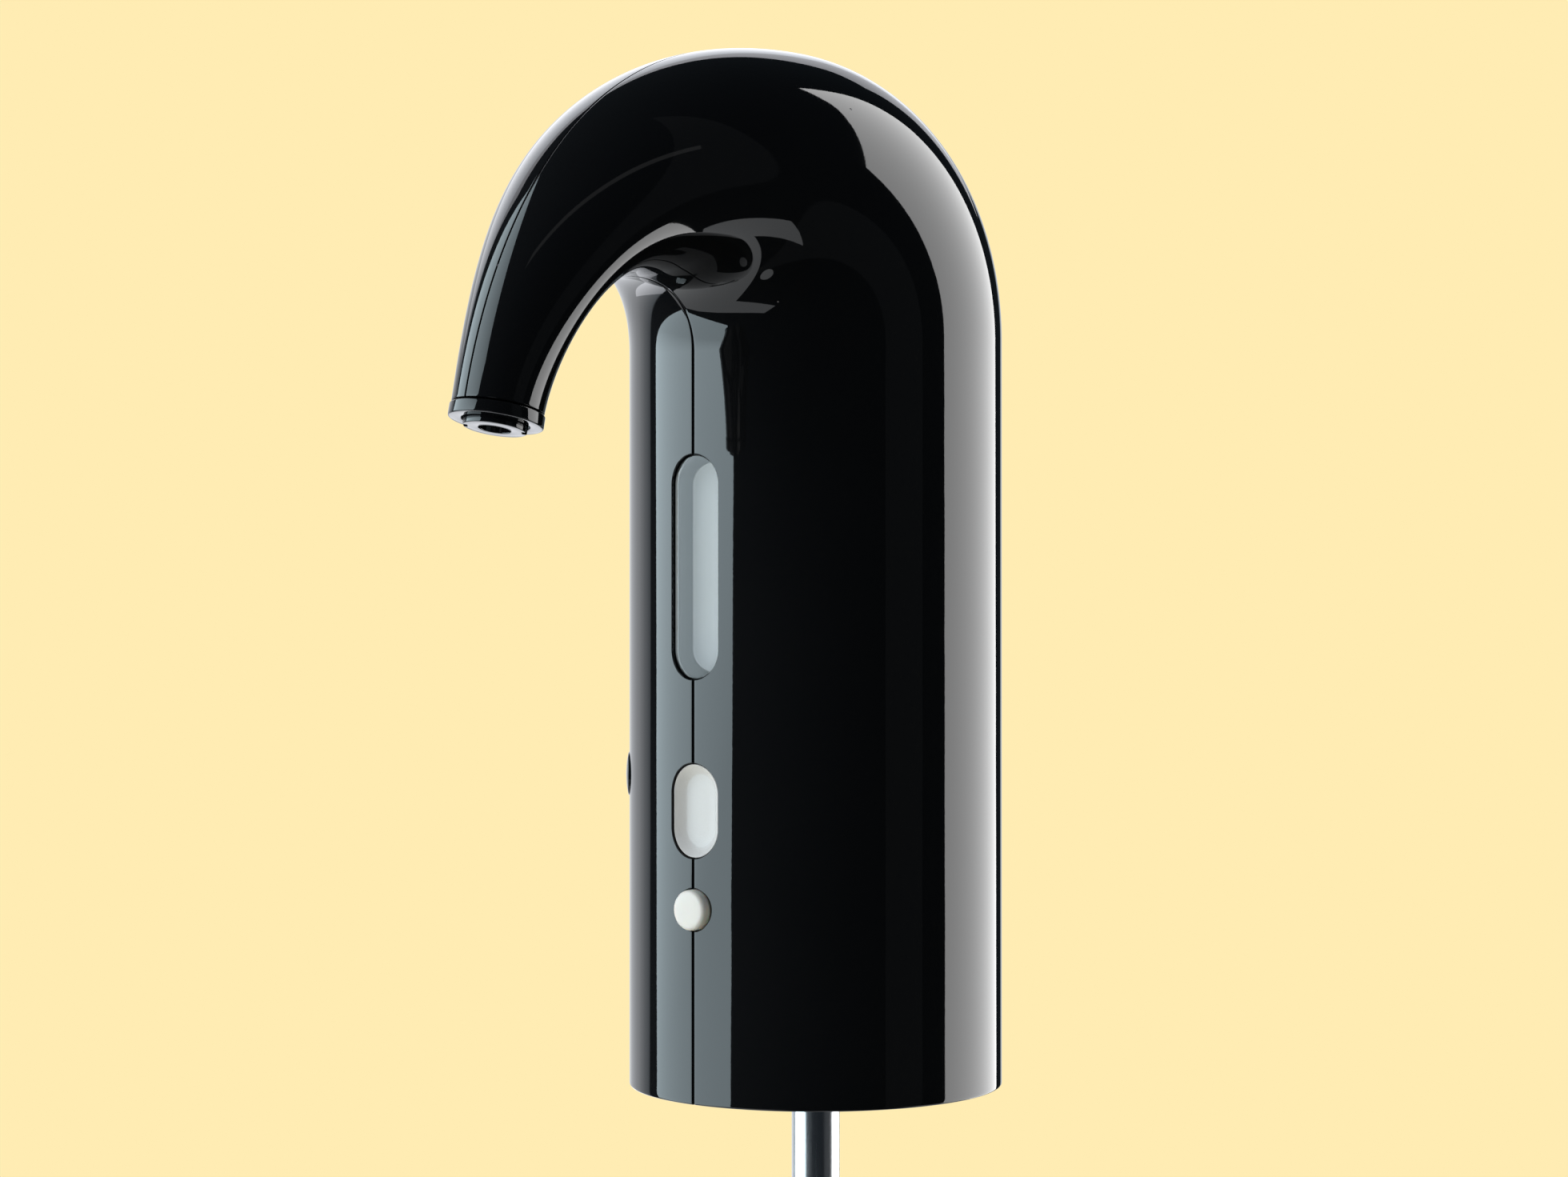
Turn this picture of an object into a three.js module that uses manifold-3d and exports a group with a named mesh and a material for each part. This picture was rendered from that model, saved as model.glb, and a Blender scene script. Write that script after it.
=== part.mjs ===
// Electric wine aerator that stands on the neck of a bottle.
// Millimetres, +Z up, the hooked spout points towards -Y, the shells part on the plane X = 0.
// The origin is the centre of the base rim, on the axis of the round body.
import * as THREE from 'three';
import { mergeVertices } from 'three/addons/utils/BufferGeometryUtils.js';
import Module from 'manifold-3d';

const wasm = await Module();
wasm.setup();

// Driving dimensions of the housing
const bodyRadius = 31;
const wallThickness = 2;
const backShoulderHeight = 124.5;
const crestForward = 12.5;
const crestHeight = 170;
const backCurveReach = 27;
const crestBackReach = 24.4;
const crestFrontReach = 40.7;
const spoutOuterReach = 31.7;
const spoutTipForward = 81.8;
const spoutTipHeight = 110.6;
const spoutTilt = THREE.MathUtils.degToRad(12.5);
const throatStartHeight = 120.2;
const throatForward = 44.1;
const throatHeight = 131;
const throatStartReach = 7.15;
const throatTopReach = 7.15;
const throatFrontReach = 14.8;
const spoutInnerReach = 15.3;
const spoutEndRadius = 7;
const narrowingStartShare = 1.93;
const narrowingEndShare = 1.61;
const throatPairingShare = 1.1;

// Clearances and the one overrun of all cuts
const seamGap = 0.3;
const seamLipInset = 1.1;
const seamLipReach = 1.2;
const fitGap = 0.3;
const boreGap = 0.2;
const overrun = 4;

// Facet counts
const bodySides = 36;
const loftSteps = 22;
const innerSides = 24;
const innerSteps = 13;
const ringSides = 28;
const roundSides = 18;
const smallSides = 8;
const hoseSides = 8;
const hoseSteps = 22;
const airHoseSteps = 14;
const leadSides = 6;
const leadSteps = 12;
const screwSides = 6;

// Front openings, windows and buttons
const pillWidth = 9.75;
const windowHeight = 36.1;
const windowCentreHeight = 85.75;
const windowRecess = 1;
const trayMargin = 1.4;
const trayPocketMargin = 0.35;
const trayPocketDepth = 2.2;
const trayFloor = 0.9;
const ledStripThickness = 0.8;
const ledHeight = 1.2;
const ledWidth = 3;
const ledCount = 3;
const mainButtonHeight = 15.3;
const mainButtonDrop = 38.9;
const buttonFlangeMargin = 1.2;
const buttonFlangeThickness = 0.8;
const buttonTravel = 0.6;
const powerButtonDiameter = 6.5;
const powerButtonDrop = 15.75;
const powerButtonProud = 1.4;
const powerButtonEdge = 0.7;
const buttonStemDiameter = 3;
const sideButtonDiameter = 7.3;
const sideButtonHeight = 51.5;
const sideButtonAngle = THREE.MathUtils.degToRad(50);
const sideButtonProud = 0.6;
const sideButtonRim = 0.2;
const sideButtonSkirt = 2.6;

// Base cup, stopper, manifold and dip tube
const baseRecess = 1;
const baseFloor = 2;
const skirtHeight = 5;
const skirtThickness = 1.5;
const cupRadius = 17.2;
const cupWall = 1.8;
const lipSeatHeight = 41;
const stopperFlangeThickness = 3;
const stopperFlangeRadius = 15;
const cupTopThickness = 2.4;
const coreRadius = 6.6;
const coreBoreRadius = 5;
const coreBottomHeight = 12;
const stopperTopRadius = 9.4;
const stopperTipRadius = 8.4;
const stopperLength = 25;
const stopperRibProud = 0.9;
const stopperRibCount = 4;
const manifoldRadius = 9.4;
const manifoldTop = 62;
const airDuctRadius = 1.2;
const branchRadius = 3.4;
const sealHeight = 2.4;
const sealWidth = 1.5;
const wineDuctRadius = 1.6;
const wineBarbForward = 12;
const airArmAngle = THREE.MathUtils.degToRad(101);
const airBarbDistance = 13.3;
const barbHeight = 6;
const airBarbRadius = 1.2;
const airBarbBore = 0.6;
const barbRidge = 0.15;
const tubeRadius = 4;
const tubeWall = 0.5;
const tubeSectionLength = 190;
const innerTubeLength = 150;
const tubeRingHeight = 7;
const tubeRingWall = 0.8;
const innerTubeWall = 0.5;
const footLength = 9;
const footWall = 0.6;
const footSlotWidth = 1.4;
const footSlotHeight = 4;

// Wine hose and nozzle
const hoseRadius = 3.5;
const hoseBore = 2.4;
const nozzleRingRadius = 7.2;
const nozzleRingHeight = 1.9;
const nozzleRingHole = 5.15;
const nozzleRingWeb = 1.2;
const nozzleSpigotHeight = 4;
const nozzleSpigotWall = 0.5;
const insertProud = 1;
const insertBore = 2.45;
const insertNeckBore = 1.35;
const insertBarbLength = 9;
const insertNotchWidth = 1.6;
const insertNotchDepth = 0.8;
const insertNotchAngle = THREE.MathUtils.degToRad(40);

// Chassis, cell and pump
const chassisFloor = 2;
const chassisLift = 0.5;
const legRadius = 3;
const legAngles = [25, 155, 310].map(THREE.MathUtils.degToRad);
const cradleWall = 1.2;
const cellRadius = 9.25;
const cellLength = 65;
const cellCapRadius = 3;
const cellCapHeight = 0.8;
const cellAngle = THREE.MathUtils.degToRad(164.5);
const cellCradleHeight = 46;
const pumpAngle = THREE.MathUtils.degToRad(23);
const pumpRadius = 13.4;
const motorRadius = 12.2;
const motorLength = 30.7;
const motorNoseRadius = 3;
const motorNoseHeight = 1;
const sleeveHeight = 24;
const sleeveWall = 0.9;
const pumpCradleHeight = 20;
const shaftRadius = 1;
const shaftSeatDepth = 8;
const caseFloor = 1.5;
const caseWall = 3.2;
const caseHeight = 12.5;
const crankRadius = 5;
const crankHeight = 3.7;
const crankThrow = 2.2;
const crankPinRadius = 0.8;
const crankPinHeight = 2.6;
const wobblePlateThickness = 1.4;
const wobbleHubRadius = 5.2;
const wobbleArmWidth = 3;
const diaphragmThickness = 1.5;
const diaphragmCupRadius = 2.9;
const diaphragmCupCentre = 6.4;
const diaphragmCupCount = 3;
const diaphragmCupWall = 0.7;
const valvePlateThickness = 2;
const valveHoleRadius = 0.8;
const capHeight = 6;
const capWall = 2;
const capPlenumRadius = 8;
const pumpScrewCount = 3;

// Air line and release valve
const airHoseRadius = 2.2;
const airHoseBore = 1.5;
const airHoseInset = 9.2;
const airHoseTopRise = 12;
const airBarbLength = 3;
const checkValveRadius = 3.6;
const checkValveLength = 13;
const checkValveDrop = 22.7;
const valveRadius = 4;
const valvePinRadius = 1;
const valveSpringGap = 4.4;
const springRadius = 2.9;
const springWire = 0.4;
const springTurns = 3;
const springTurnSteps = 7;

// Boards, socket and leads
const boardThickness = 1.6;
const boardWidth = 24;
const boardFootDrop = 9.1;
const boardTopHeight = 109;
const switchWidth = 6;
const switchHeight = 2.5;
const switchNubRadius = 1.6;
const switchNubHeight = 0.6;
const boardPostWidth = 4;
const boardPostDepth = 3;
const boardRestHeight = 26;
const socketCentreHeight = 17;
const socketWidth = 8.9;
const socketThickness = 3.2;
const socketLength = 7.3;
const socketWall = 0.4;
const socketTongue = 0.7;
const socketTongueWidth = 6.4;
const socketInset = 0.6;
const socketOpeningGap = 0.4;
const chargeBoardWidth = 15;
const chargeBoardBottom = 9.5;
const chargeBoardTop = 40;
const leadRadius = 0.7;

// Screws
const screwRadius = 1;
const screwHeadRadius = 1.9;
const screwHeadHeight = 1.3;
const screwSocketRadius = 0.8;
const screwSocketDepth = 0.7;
const baseBossRadius = 3.2;
const baseBossTop = 22;
const baseScrewLength = 16;
const baseScrewAngles = [45, 135, 225, 315].map(THREE.MathUtils.degToRad);
const chassisScrewLength = 12;
const boardScrewLength = 5;
const pumpScrewLength = 16;

// Sizes that follow from the driving dimensions
const innerRadius = bodyRadius - wallThickness;
const mainButtonCentreHeight = windowCentreHeight - mainButtonDrop;
const powerButtonCentreHeight = mainButtonCentreHeight - powerButtonDrop;
const boardBottomHeight = powerButtonCentreHeight - boardFootDrop;
const cupOuterRadius = cupRadius + cupWall;
const cupTop = lipSeatHeight + stopperFlangeThickness + fitGap + cupTopThickness;
const manifoldBottom = cupTop + fitGap;
const airDuctHeight = sideButtonHeight;
const chassisBottom = manifoldTop + chassisLift;
const chassisTop = chassisBottom + chassisFloor;
const seatHeight = chassisTop + fitGap;
const screwHoleRadius = screwRadius + boreGap;
const leadBend = 4 * leadRadius;

// A closed triangle surface as a solid that can be joined and cut.
function solid(geometry) {
  const bare = geometry.clone();
  bare.deleteAttribute('normal');
  bare.deleteAttribute('uv');
  const merged = mergeVertices(bare);
  return new wasm.Manifold(new wasm.Mesh({
    numProp: 3,
    vertProperties: merged.attributes.position.array,
    triVerts: new Uint32Array(merged.index.array),
  }));
}

function geometryOf(body) {
  const mesh = body.getMesh();
  const geometry = new THREE.BufferGeometry();
  geometry.setAttribute('position', new THREE.BufferAttribute(mesh.vertProperties, mesh.numProp));
  geometry.setIndex(new THREE.BufferAttribute(mesh.triVerts, 1));
  return geometry;
}

function join(first, ...others) {
  return others.reduce((whole, piece) => whole.add(piece), first);
}

function cut(first, ...others) {
  return others.reduce((whole, piece) => whole.subtract(piece), first);
}

// Moves and turns a solid, by a three.js matrix.
function placed(body, matrix) {
  const geometry = geometryOf(body);
  geometry.applyMatrix4(matrix);
  return solid(geometry);
}

function shifted(body, x, y, z) {
  return placed(body, new THREE.Matrix4().makeTranslation(x, y, z));
}

// A block between two corners.
function block(x0, x1, y0, y1, z0, z1) {
  const geometry = new THREE.BoxGeometry(x1 - x0, y1 - y0, z1 - z0);
  geometry.translate((x0 + x1) / 2, (y0 + y1) / 2, (z0 + z1) / 2);
  return solid(geometry);
}

// A turned piece about the Z axis. The profile is a list of [radius, height], closed on itself
// or on the axis.
function turned(profile, sides = roundSides) {
  const points = profile.map(([radius, height]) => new THREE.Vector2(radius, height));
  const onAxis = profile[0][0] === 0 && profile[profile.length - 1][0] === 0;
  if (!onAxis) points.push(points[0].clone());
  const geometry = new THREE.LatheGeometry(points, sides);
  geometry.rotateX(Math.PI / 2);
  return solid(geometry);
}

// A round bar along Z.
function rod(radius, z0, z1, sides = roundSides, x = 0, y = 0) {
  const bar = turned([[0, z0], [radius, z0], [radius, z1], [0, z1]], sides);
  return x === 0 && y === 0 ? bar : shifted(bar, x, y, 0);
}

// A pipe along Z.
function pipe(outer, inner, z0, z1, sides = roundSides, x = 0, y = 0) {
  const ring = turned([[inner, z0], [outer, z0], [outer, z1], [inner, z1]], sides);
  return x === 0 && y === 0 ? ring : shifted(ring, x, y, 0);
}

// An outline in X and Z, standing from y0 to y1 on the front-to-back axis.
function fronted(shape, y0, y1, centreHeight) {
  const geometry = new THREE.ExtrudeGeometry(shape, {
    depth: y1 - y0,
    bevelEnabled: false,
    curveSegments: smallSides / 2,
  });
  geometry.rotateX(Math.PI / 2);
  geometry.translate(0, y1, centreHeight);
  return solid(geometry);
}

// A slot with round ends, upright when it is taller than it is wide.
function pill(width, height) {
  const radius = Math.min(width, height) / 2;
  const alongX = width / 2 - radius;
  const alongY = height / 2 - radius;
  const shape = new THREE.Shape();
  if (alongY >= alongX) {
    shape.absarc(0, alongY, radius, 0, Math.PI, false);
    shape.absarc(0, -alongY, radius, Math.PI, 2 * Math.PI, false);
  } else {
    shape.absarc(alongX, 0, radius, -Math.PI / 2, Math.PI / 2, false);
    shape.absarc(-alongX, 0, radius, Math.PI / 2, 1.5 * Math.PI, false);
  }
  shape.closePath();
  return shape;
}

function circle(radius) {
  const shape = new THREE.Shape();
  shape.absarc(0, 0, radius, 0, 2 * Math.PI, false);
  return shape;
}

// A bar along the front-to-back axis.
function frontRod(radius, y0, y1, x, z, sides = smallSides) {
  const matrix = new THREE.Matrix4().makeRotationX(Math.PI / 2);
  matrix.setPosition(x, 0, z);
  return placed(rod(radius, -y1, -y0, sides), matrix);
}

// A round tube or bar along a curve, with flat closed ends.
function swept(curve, radius, bore, steps, sides) {
  const shape = circle(radius);
  if (bore > 0) {
    const hole = new THREE.Path();
    hole.absarc(0, 0, bore, 0, 2 * Math.PI, true);
    shape.holes.push(hole);
  }
  const geometry = new THREE.ExtrudeGeometry(shape, {
    steps,
    extrudePath: curve,
    bevelEnabled: false,
    curveSegments: sides / 2,
  });
  return solid(geometry);
}

function smoothLine(points) {
  return new THREE.CatmullRomCurve3(points, false, 'centripetal');
}

// The numbers from zero up to a count.
function upTo(count) {
  return Array.from({ length: count }, (unused, index) => index);
}

// The place at an angle and a distance from the body's axis.
function around(angle, distance) {
  return [distance * Math.cos(angle), distance * Math.sin(angle)];
}

// The housing
// Two profile lines in the middle plane, in forward distance and height: one over the back and
// the crest, one round the throat. Sections between them are ellipses that narrow to the spout.
const tipDirection = new THREE.Vector2(Math.sin(spoutTilt), -Math.cos(spoutTilt));
const tipAcross = new THREE.Vector2(Math.cos(spoutTilt), Math.sin(spoutTilt));
const outerTip = new THREE.Vector2(spoutTipForward, spoutTipHeight);
const innerTip = outerTip.clone().addScaledVector(tipAcross, -2 * spoutEndRadius);

function profileLine(start, startReach, top, topBackReach, topFrontReach, tip, tipReach) {
  const path = new THREE.CurvePath();
  path.add(new THREE.CubicBezierCurve(
    start,
    new THREE.Vector2(start.x, start.y + startReach),
    new THREE.Vector2(top.x - topBackReach, top.y),
    top,
  ));
  path.add(new THREE.CubicBezierCurve(
    top,
    new THREE.Vector2(top.x + topFrontReach, top.y),
    tip.clone().addScaledVector(tipDirection, -tipReach),
    tip,
  ));
  return path;
}

const outerLine = profileLine(
  new THREE.Vector2(-bodyRadius, backShoulderHeight),
  backCurveReach,
  new THREE.Vector2(crestForward, crestHeight),
  crestBackReach,
  crestFrontReach,
  outerTip,
  spoutOuterReach,
);
const innerLine = profileLine(
  new THREE.Vector2(bodyRadius, throatStartHeight),
  throatStartReach,
  new THREE.Vector2(throatForward, throatHeight),
  throatTopReach,
  throatFrontReach,
  innerTip,
  spoutInnerReach,
);

// One section of the hook: its centre, its half chord in the middle plane and its half width.
function hookSection(share) {
  const outer = outerLine.getPoint(share);
  const inner = innerLine.getPoint(share ** throatPairingShare);
  const centre = outer.clone().add(inner).multiplyScalar(1 / 2);
  const half = outer.clone().sub(inner).multiplyScalar(1 / 2);
  const narrowing = Math.max(0, 1 - share ** narrowingStartShare) ** narrowingEndShare;
  const width = spoutEndRadius + (bodyRadius - spoutEndRadius) * narrowing;
  return { centre, half, width };
}

// The ring of points of a section, drawn in by a distance and moved along its own plane's normal.
function sectionRing({ centre, half, width }, inset, sides, shift = new THREE.Vector2()) {
  const chord = half.length();
  const reach = half.clone().multiplyScalar((chord - inset) / chord);
  const ring = [];
  for (let side = 0; side < sides; side += 1) {
    const turn = (2 * Math.PI * side) / sides;
    const forward = centre.x + shift.x + reach.x * Math.cos(turn);
    const height = centre.y + shift.y + reach.y * Math.cos(turn);
    ring.push([(width - inset) * Math.sin(turn), -forward, height]);
  }
  return ring;
}

// A closed skin over a stack of equal rings.
function skin(rings) {
  const positions = [];
  const count = rings[0].length;
  const centreOf = (ring) => [0, 1, 2].map((axis) => ring.reduce((sum, p) => sum + p[axis], 0) / count);
  const triangle = (a, b, c) => positions.push(...a, ...b, ...c);
  rings.slice(1).forEach((upper, row) => {
    const lower = rings[row];
    for (let side = 0; side < count; side += 1) {
      const next = (side + 1) % count;
      triangle(lower[side], upper[next], lower[next]);
      triangle(lower[side], upper[side], upper[next]);
    }
  });
  const first = rings[0];
  const last = rings[rings.length - 1];
  const firstCentre = centreOf(first);
  const lastCentre = centreOf(last);
  for (let side = 0; side < count; side += 1) {
    const next = (side + 1) % count;
    triangle(firstCentre, first[side], first[next]);
    triangle(lastCentre, last[next], last[side]);
  }
  const geometry = new THREE.BufferGeometry();
  geometry.setAttribute('position', new THREE.Float32BufferAttribute(positions, 3));
  return solid(geometry);
}

// The whole cane, drawn in by an inset, from a height below the hook to a run past the spout end.
function cane(inset, bottom, pastTip, sides, steps) {
  const base = {
    centre: new THREE.Vector2(0, bottom),
    half: new THREE.Vector2(-bodyRadius, 0),
    width: bodyRadius,
  };
  const rings = [sectionRing(base, inset, sides)];
  for (let step = 0; step < steps; step += 1) {
    rings.push(sectionRing(hookSection(step / steps), inset, sides));
  }
  rings.push(sectionRing(hookSection(1), inset, sides, tipDirection.clone().multiplyScalar(pastTip)));
  return skin(rings);
}

// Depth of the inner wall behind the front, for a flat piece of a given half width.
function frontSeat(halfWidth) {
  return -(Math.sqrt(innerRadius ** 2 - halfWidth ** 2) - fitGap);
}

const trayHalfWidth = pillWidth / 2 + trayMargin;
const trayFront = frontSeat(trayHalfWidth);
const trayPocketFloor = trayFront + trayPocketDepth;
const trayBack = trayPocketFloor + trayFloor;
const boardFront = trayBack + ledHeight + ledStripThickness + 2 * fitGap;
const boardBack = boardFront + boardThickness;
const switchFront = boardFront - fitGap - switchHeight;
const nubFront = switchFront - switchNubHeight;
const stemBack = nubFront - buttonTravel - boreGap;
const sideDirection = new THREE.Vector3(-Math.sin(sideButtonAngle), -Math.cos(sideButtonAngle), 0);

// Turns a piece made along +Z so that it points out along the side button's axis.
function alongSide(body, distance) {
  const matrix = new THREE.Matrix4().makeRotationFromQuaternion(
    new THREE.Quaternion().setFromUnitVectors(new THREE.Vector3(0, 0, 1), sideDirection),
  );
  matrix.setPosition(sideDirection.x * distance, sideDirection.y * distance, sideButtonHeight);
  return placed(body, matrix);
}

const bossDistance = innerRadius - baseBossRadius - fitGap;
const bossBottom = baseRecess + baseFloor + skirtHeight + fitGap;

// A screw boss near the base, joined to the wall by a web.
function shellBoss(angle) {
  const [x, y] = around(angle, bossDistance);
  const boss = rod(baseBossRadius, bossBottom, baseBossTop, smallSides, x, y);
  const reach = block(0, innerRadius, -baseBossRadius / 2, baseBossRadius / 2, bossBottom, baseBossTop);
  const web = cut(reach, block(0, bossDistance, -bodyRadius, bodyRadius, -overrun, crestHeight));
  const turnedWeb = placed(web, new THREE.Matrix4().makeRotationZ(angle));
  const hole = rod(screwHoleRadius, bossBottom - overrun, baseBossTop - baseFloor, smallSides, x, y);
  return cut(join(boss, turnedWeb), hole);
}

const outerCane = cane(0, 0, 0, bodySides, loftSteps);
const hollow = cane(wallThickness, -overrun, overrun, innerSides, innerSteps);
const bosses = baseScrewAngles.map(shellBoss);
const insideOfBody = rod(bodyRadius - wallThickness / 2, -overrun, throatStartHeight, bodySides);
const frontCuts = [
  fronted(pill(pillWidth, windowHeight), -bodyRadius - overrun, -bodyRadius / 2, windowCentreHeight),
  fronted(pill(pillWidth, mainButtonHeight), -bodyRadius - overrun, -bodyRadius / 2, mainButtonCentreHeight),
  frontRod(powerButtonDiameter / 2 + boreGap, -bodyRadius - overrun, -bodyRadius / 2, 0,
    powerButtonCentreHeight, roundSides),
];
const socketCut = fronted(
  pill(socketWidth + 2 * socketOpeningGap, socketThickness + 2 * socketOpeningGap),
  bodyRadius / 2,
  bodyRadius + overrun,
  socketCentreHeight,
);
const sideCut = alongSide(rod(sideButtonDiameter / 2 + boreGap, 0, bodyRadius, roundSides), bodyRadius / 2);
const housing = cut(
  join(cut(outerCane, hollow), ...bosses.map((boss) => boss.intersect(insideOfBody))),
  ...frontCuts,
  socketCut,
  sideCut,
);

// What lies between two planes across the housing
function slice(body, x0, x1) {
  const far = spoutTipForward + bodyRadius;
  return body.intersect(block(x0, x1, -far - overrun, far, -overrun, crestHeight + overrun));
}

const seamEdge = seamGap / 2;
const halfWidth = bodyRadius + overrun;
const lipCane = cane(seamLipInset, 0, 0, bodySides, loftSteps);
const seamLip = cut(slice(lipCane, -seamLipReach, wallThickness), hollow);
const seamRebate = slice(
  cane(seamLipInset - fitGap, -overrun, overrun, bodySides, loftSteps),
  -seamLipReach - fitGap,
  0,
);

// The right shell has a lip along its seam, which lies in a rebate of the left shell
function rightShell() {
  return join(slice(housing, seamEdge, halfWidth), cut(seamLip, ...frontCuts, socketCut));
}

function leftShell() {
  return cut(slice(housing, -halfWidth, -seamEdge), seamRebate);
}

// Base cup: floor, skirt, cup round the bottle neck, screw standoffs, leg bosses and the board's rest
const baseFloorTop = baseRecess + baseFloor;
const skirtRadius = innerRadius - fitGap;
const legDistance = cupOuterRadius - legRadius;
const baseScrewBottom = baseRecess + boreGap;

function baseCup() {
  const coreHole = coreRadius + boreGap;
  const cup = turned([
    [coreHole, lipSeatHeight + stopperFlangeThickness + fitGap],
    [cupRadius, lipSeatHeight + stopperFlangeThickness + fitGap],
    [cupRadius, baseRecess],
    [skirtRadius, baseRecess],
    [skirtRadius, baseFloorTop + skirtHeight],
    [skirtRadius - skirtThickness, baseFloorTop + skirtHeight],
    [skirtRadius - skirtThickness, baseFloorTop],
    [cupOuterRadius, baseFloorTop],
    [cupOuterRadius, cupTop],
    [coreHole, cupTop],
  ], ringSides);
  const standoffs = baseScrewAngles.map((angle) => {
    const [x, y] = around(angle, bossDistance);
    return rod(baseBossRadius, baseRecess + baseFloor / 2, baseFloorTop + skirtHeight, smallSides, x, y);
  });
  const rest = block(
    -boardPostWidth / 2,
    boardPostWidth / 2,
    boardBack + fitGap,
    -cupRadius - cupWall / 2,
    boardRestHeight,
    boardRestHeight + boardPostWidth,
  );
  const insideSkirt = rod(skirtRadius - skirtThickness / 2, 0, cupTop + overrun, bodySides);
  const body = join(cup, ...[...standoffs, rest].map((piece) => piece.intersect(insideSkirt)));
  const holes = baseScrewAngles.flatMap((angle) => {
    const [x, y] = around(angle, bossDistance);
    return [
      rod(screwHoleRadius, -overrun, baseBossTop, smallSides, x, y),
      rod(screwHeadRadius + boreGap, -overrun, baseScrewBottom + screwHeadHeight + boreGap, smallSides, x, y),
    ];
  });
  const legHoles = legAngles.map((angle) => {
    const [x, y] = around(angle, legDistance);
    return rod(screwHoleRadius, cupTop - cupTopThickness - overrun, cupTop + overrun, smallSides, x, y);
  });
  return cut(body, ...holes, ...legHoles);
}

// Ribbed stopper that grips the mouth of the bottle
function bottleStopper() {
  const bore = coreRadius + boreGap;
  const bottom = lipSeatHeight - stopperLength;
  const pitch = stopperLength / (stopperRibCount + 1);
  const profile = [[bore, bottom], [stopperTipRadius - stopperRibProud, bottom]];
  for (let rib = 0; rib < stopperRibCount; rib += 1) {
    const low = bottom + pitch * (rib + 1 / 2);
    const radius = stopperTipRadius + ((stopperTopRadius - stopperTipRadius) * rib) / stopperRibCount;
    profile.push([radius, low], [radius + stopperRibProud, low + pitch / 2], [radius, low + pitch * 3 / 4]);
  }
  profile.push(
    [stopperTopRadius, lipSeatHeight],
    [stopperFlangeRadius, lipSeatHeight],
    [stopperFlangeRadius, lipSeatHeight + stopperFlangeThickness],
    [bore, lipSeatHeight + stopperFlangeThickness],
  );
  return turned(profile);
}

const tubeSeatHeight = airDuctHeight + airDuctRadius + 3 * fitGap;
const wineDuctHeight = (tubeSeatHeight + sealHeight + manifoldTop) / 2;
const tubeTop = tubeSeatHeight + sealHeight + fitGap;
const barbTop = manifoldTop + barbHeight;
const wineBarbRadius = hoseBore - fitGap - barbRidge;
const [airBarbX, airBarbY] = around(airArmAngle, airBarbDistance);

// A hose barb with two ridges, standing on a height. Its bore is cut later.
function barb(radius, bottom, top) {
  const step = (top - bottom) / 4;
  return turned([
    [0, bottom],
    [radius, bottom],
    [radius, bottom + step],
    [radius + barbRidge, bottom + step],
    [radius, bottom + 2 * step],
    [radius, bottom + 3 * step],
    [radius + barbRidge, bottom + 3 * step],
    [radius - barbRidge, top],
    [0, top],
  ], smallSides);
}

// Manifold: the core carries the stopper, the block joins the wine duct, the air line and the release valve
function manifold() {
  const hub = turned([
    [0, manifoldBottom],
    [manifoldRadius, manifoldBottom],
    [manifoldRadius, manifoldTop],
    [0, manifoldTop],
  ]);
  const core = rod(coreRadius, coreBottomHeight, manifoldBottom + cupTopThickness);
  const armTop = manifoldTop - fitGap;
  const barbRoot = armTop - fitGap;
  const wineArm = block(-branchRadius, branchRadius, -wineBarbForward - branchRadius, 0,
    wineDuctHeight - branchRadius, armTop);
  const toAirArm = new THREE.Matrix4().makeRotationZ(airArmAngle);
  const airArm = placed(
    block(0, airBarbDistance + branchRadius, -branchRadius, branchRadius, manifoldBottom + fitGap, armTop),
    toAirArm,
  );
  const valveArm = alongSide(rod(branchRadius, 0, manifoldRadius + branchRadius, smallSides), 0);
  const wineBarb = shifted(barb(wineBarbRadius, barbRoot, barbTop), 0, -wineBarbForward, 0);
  const airBarb = shifted(barb(airBarbRadius, barbRoot, barbTop), airBarbX, airBarbY, 0);
  const airDuct = frontRod(airDuctRadius, 0, airBarbDistance, 0, airDuctHeight);
  const toAirDuct = new THREE.Matrix4().makeRotationZ(airArmAngle - Math.PI / 2);
  const body = join(hub, core, wineArm, airArm, valveArm, wineBarb, airBarb);
  const ducts = [
    rod(coreBoreRadius, -overrun, tubeSeatHeight, roundSides),
    rod(tubeRadius + sealWidth + boreGap, tubeSeatHeight - fitGap, tubeSeatHeight + sealHeight, roundSides),
    rod(tubeRadius + boreGap, tubeSeatHeight, tubeTop + fitGap, roundSides),
    rod(tubeRadius - tubeWall, tubeSeatHeight, wineDuctHeight + wineDuctRadius, smallSides),
    frontRod(wineDuctRadius, -wineBarbForward, 0, 0, wineDuctHeight, smallSides),
    rod(wineDuctRadius, wineDuctHeight, barbTop + overrun, smallSides, 0, -wineBarbForward),
    placed(airDuct, toAirDuct),
    rod(airBarbBore, airDuctHeight, barbTop + overrun, smallSides, airBarbX, airBarbY),
    alongSide(rod(airDuctRadius, 0, bodyRadius, smallSides), 0),
  ];
  return cut(body, ...ducts);
}

// Seal that grips the top of the dip tube
function tubeSeal() {
  const top = tubeSeatHeight + sealHeight - boreGap;
  return pipe(tubeRadius + sealWidth, tubeRadius + boreGap / 2, tubeSeatHeight, top);
}

// Dip tube: an outer section, a friction ring at its end, and a sliding section with a slotted foot
const outerTubeBottom = tubeTop - tubeSectionLength;
const innerTubeRadius = tubeRadius - tubeWall - boreGap;
const innerTubeBottom = outerTubeBottom - tubeRingWall - 3 * fitGap - footLength / 2;
const footRadius = tubeRadius + tubeRingWall;

function dipTubeUpper() {
  return pipe(tubeRadius, tubeRadius - tubeWall, outerTubeBottom, tubeTop);
}

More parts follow.
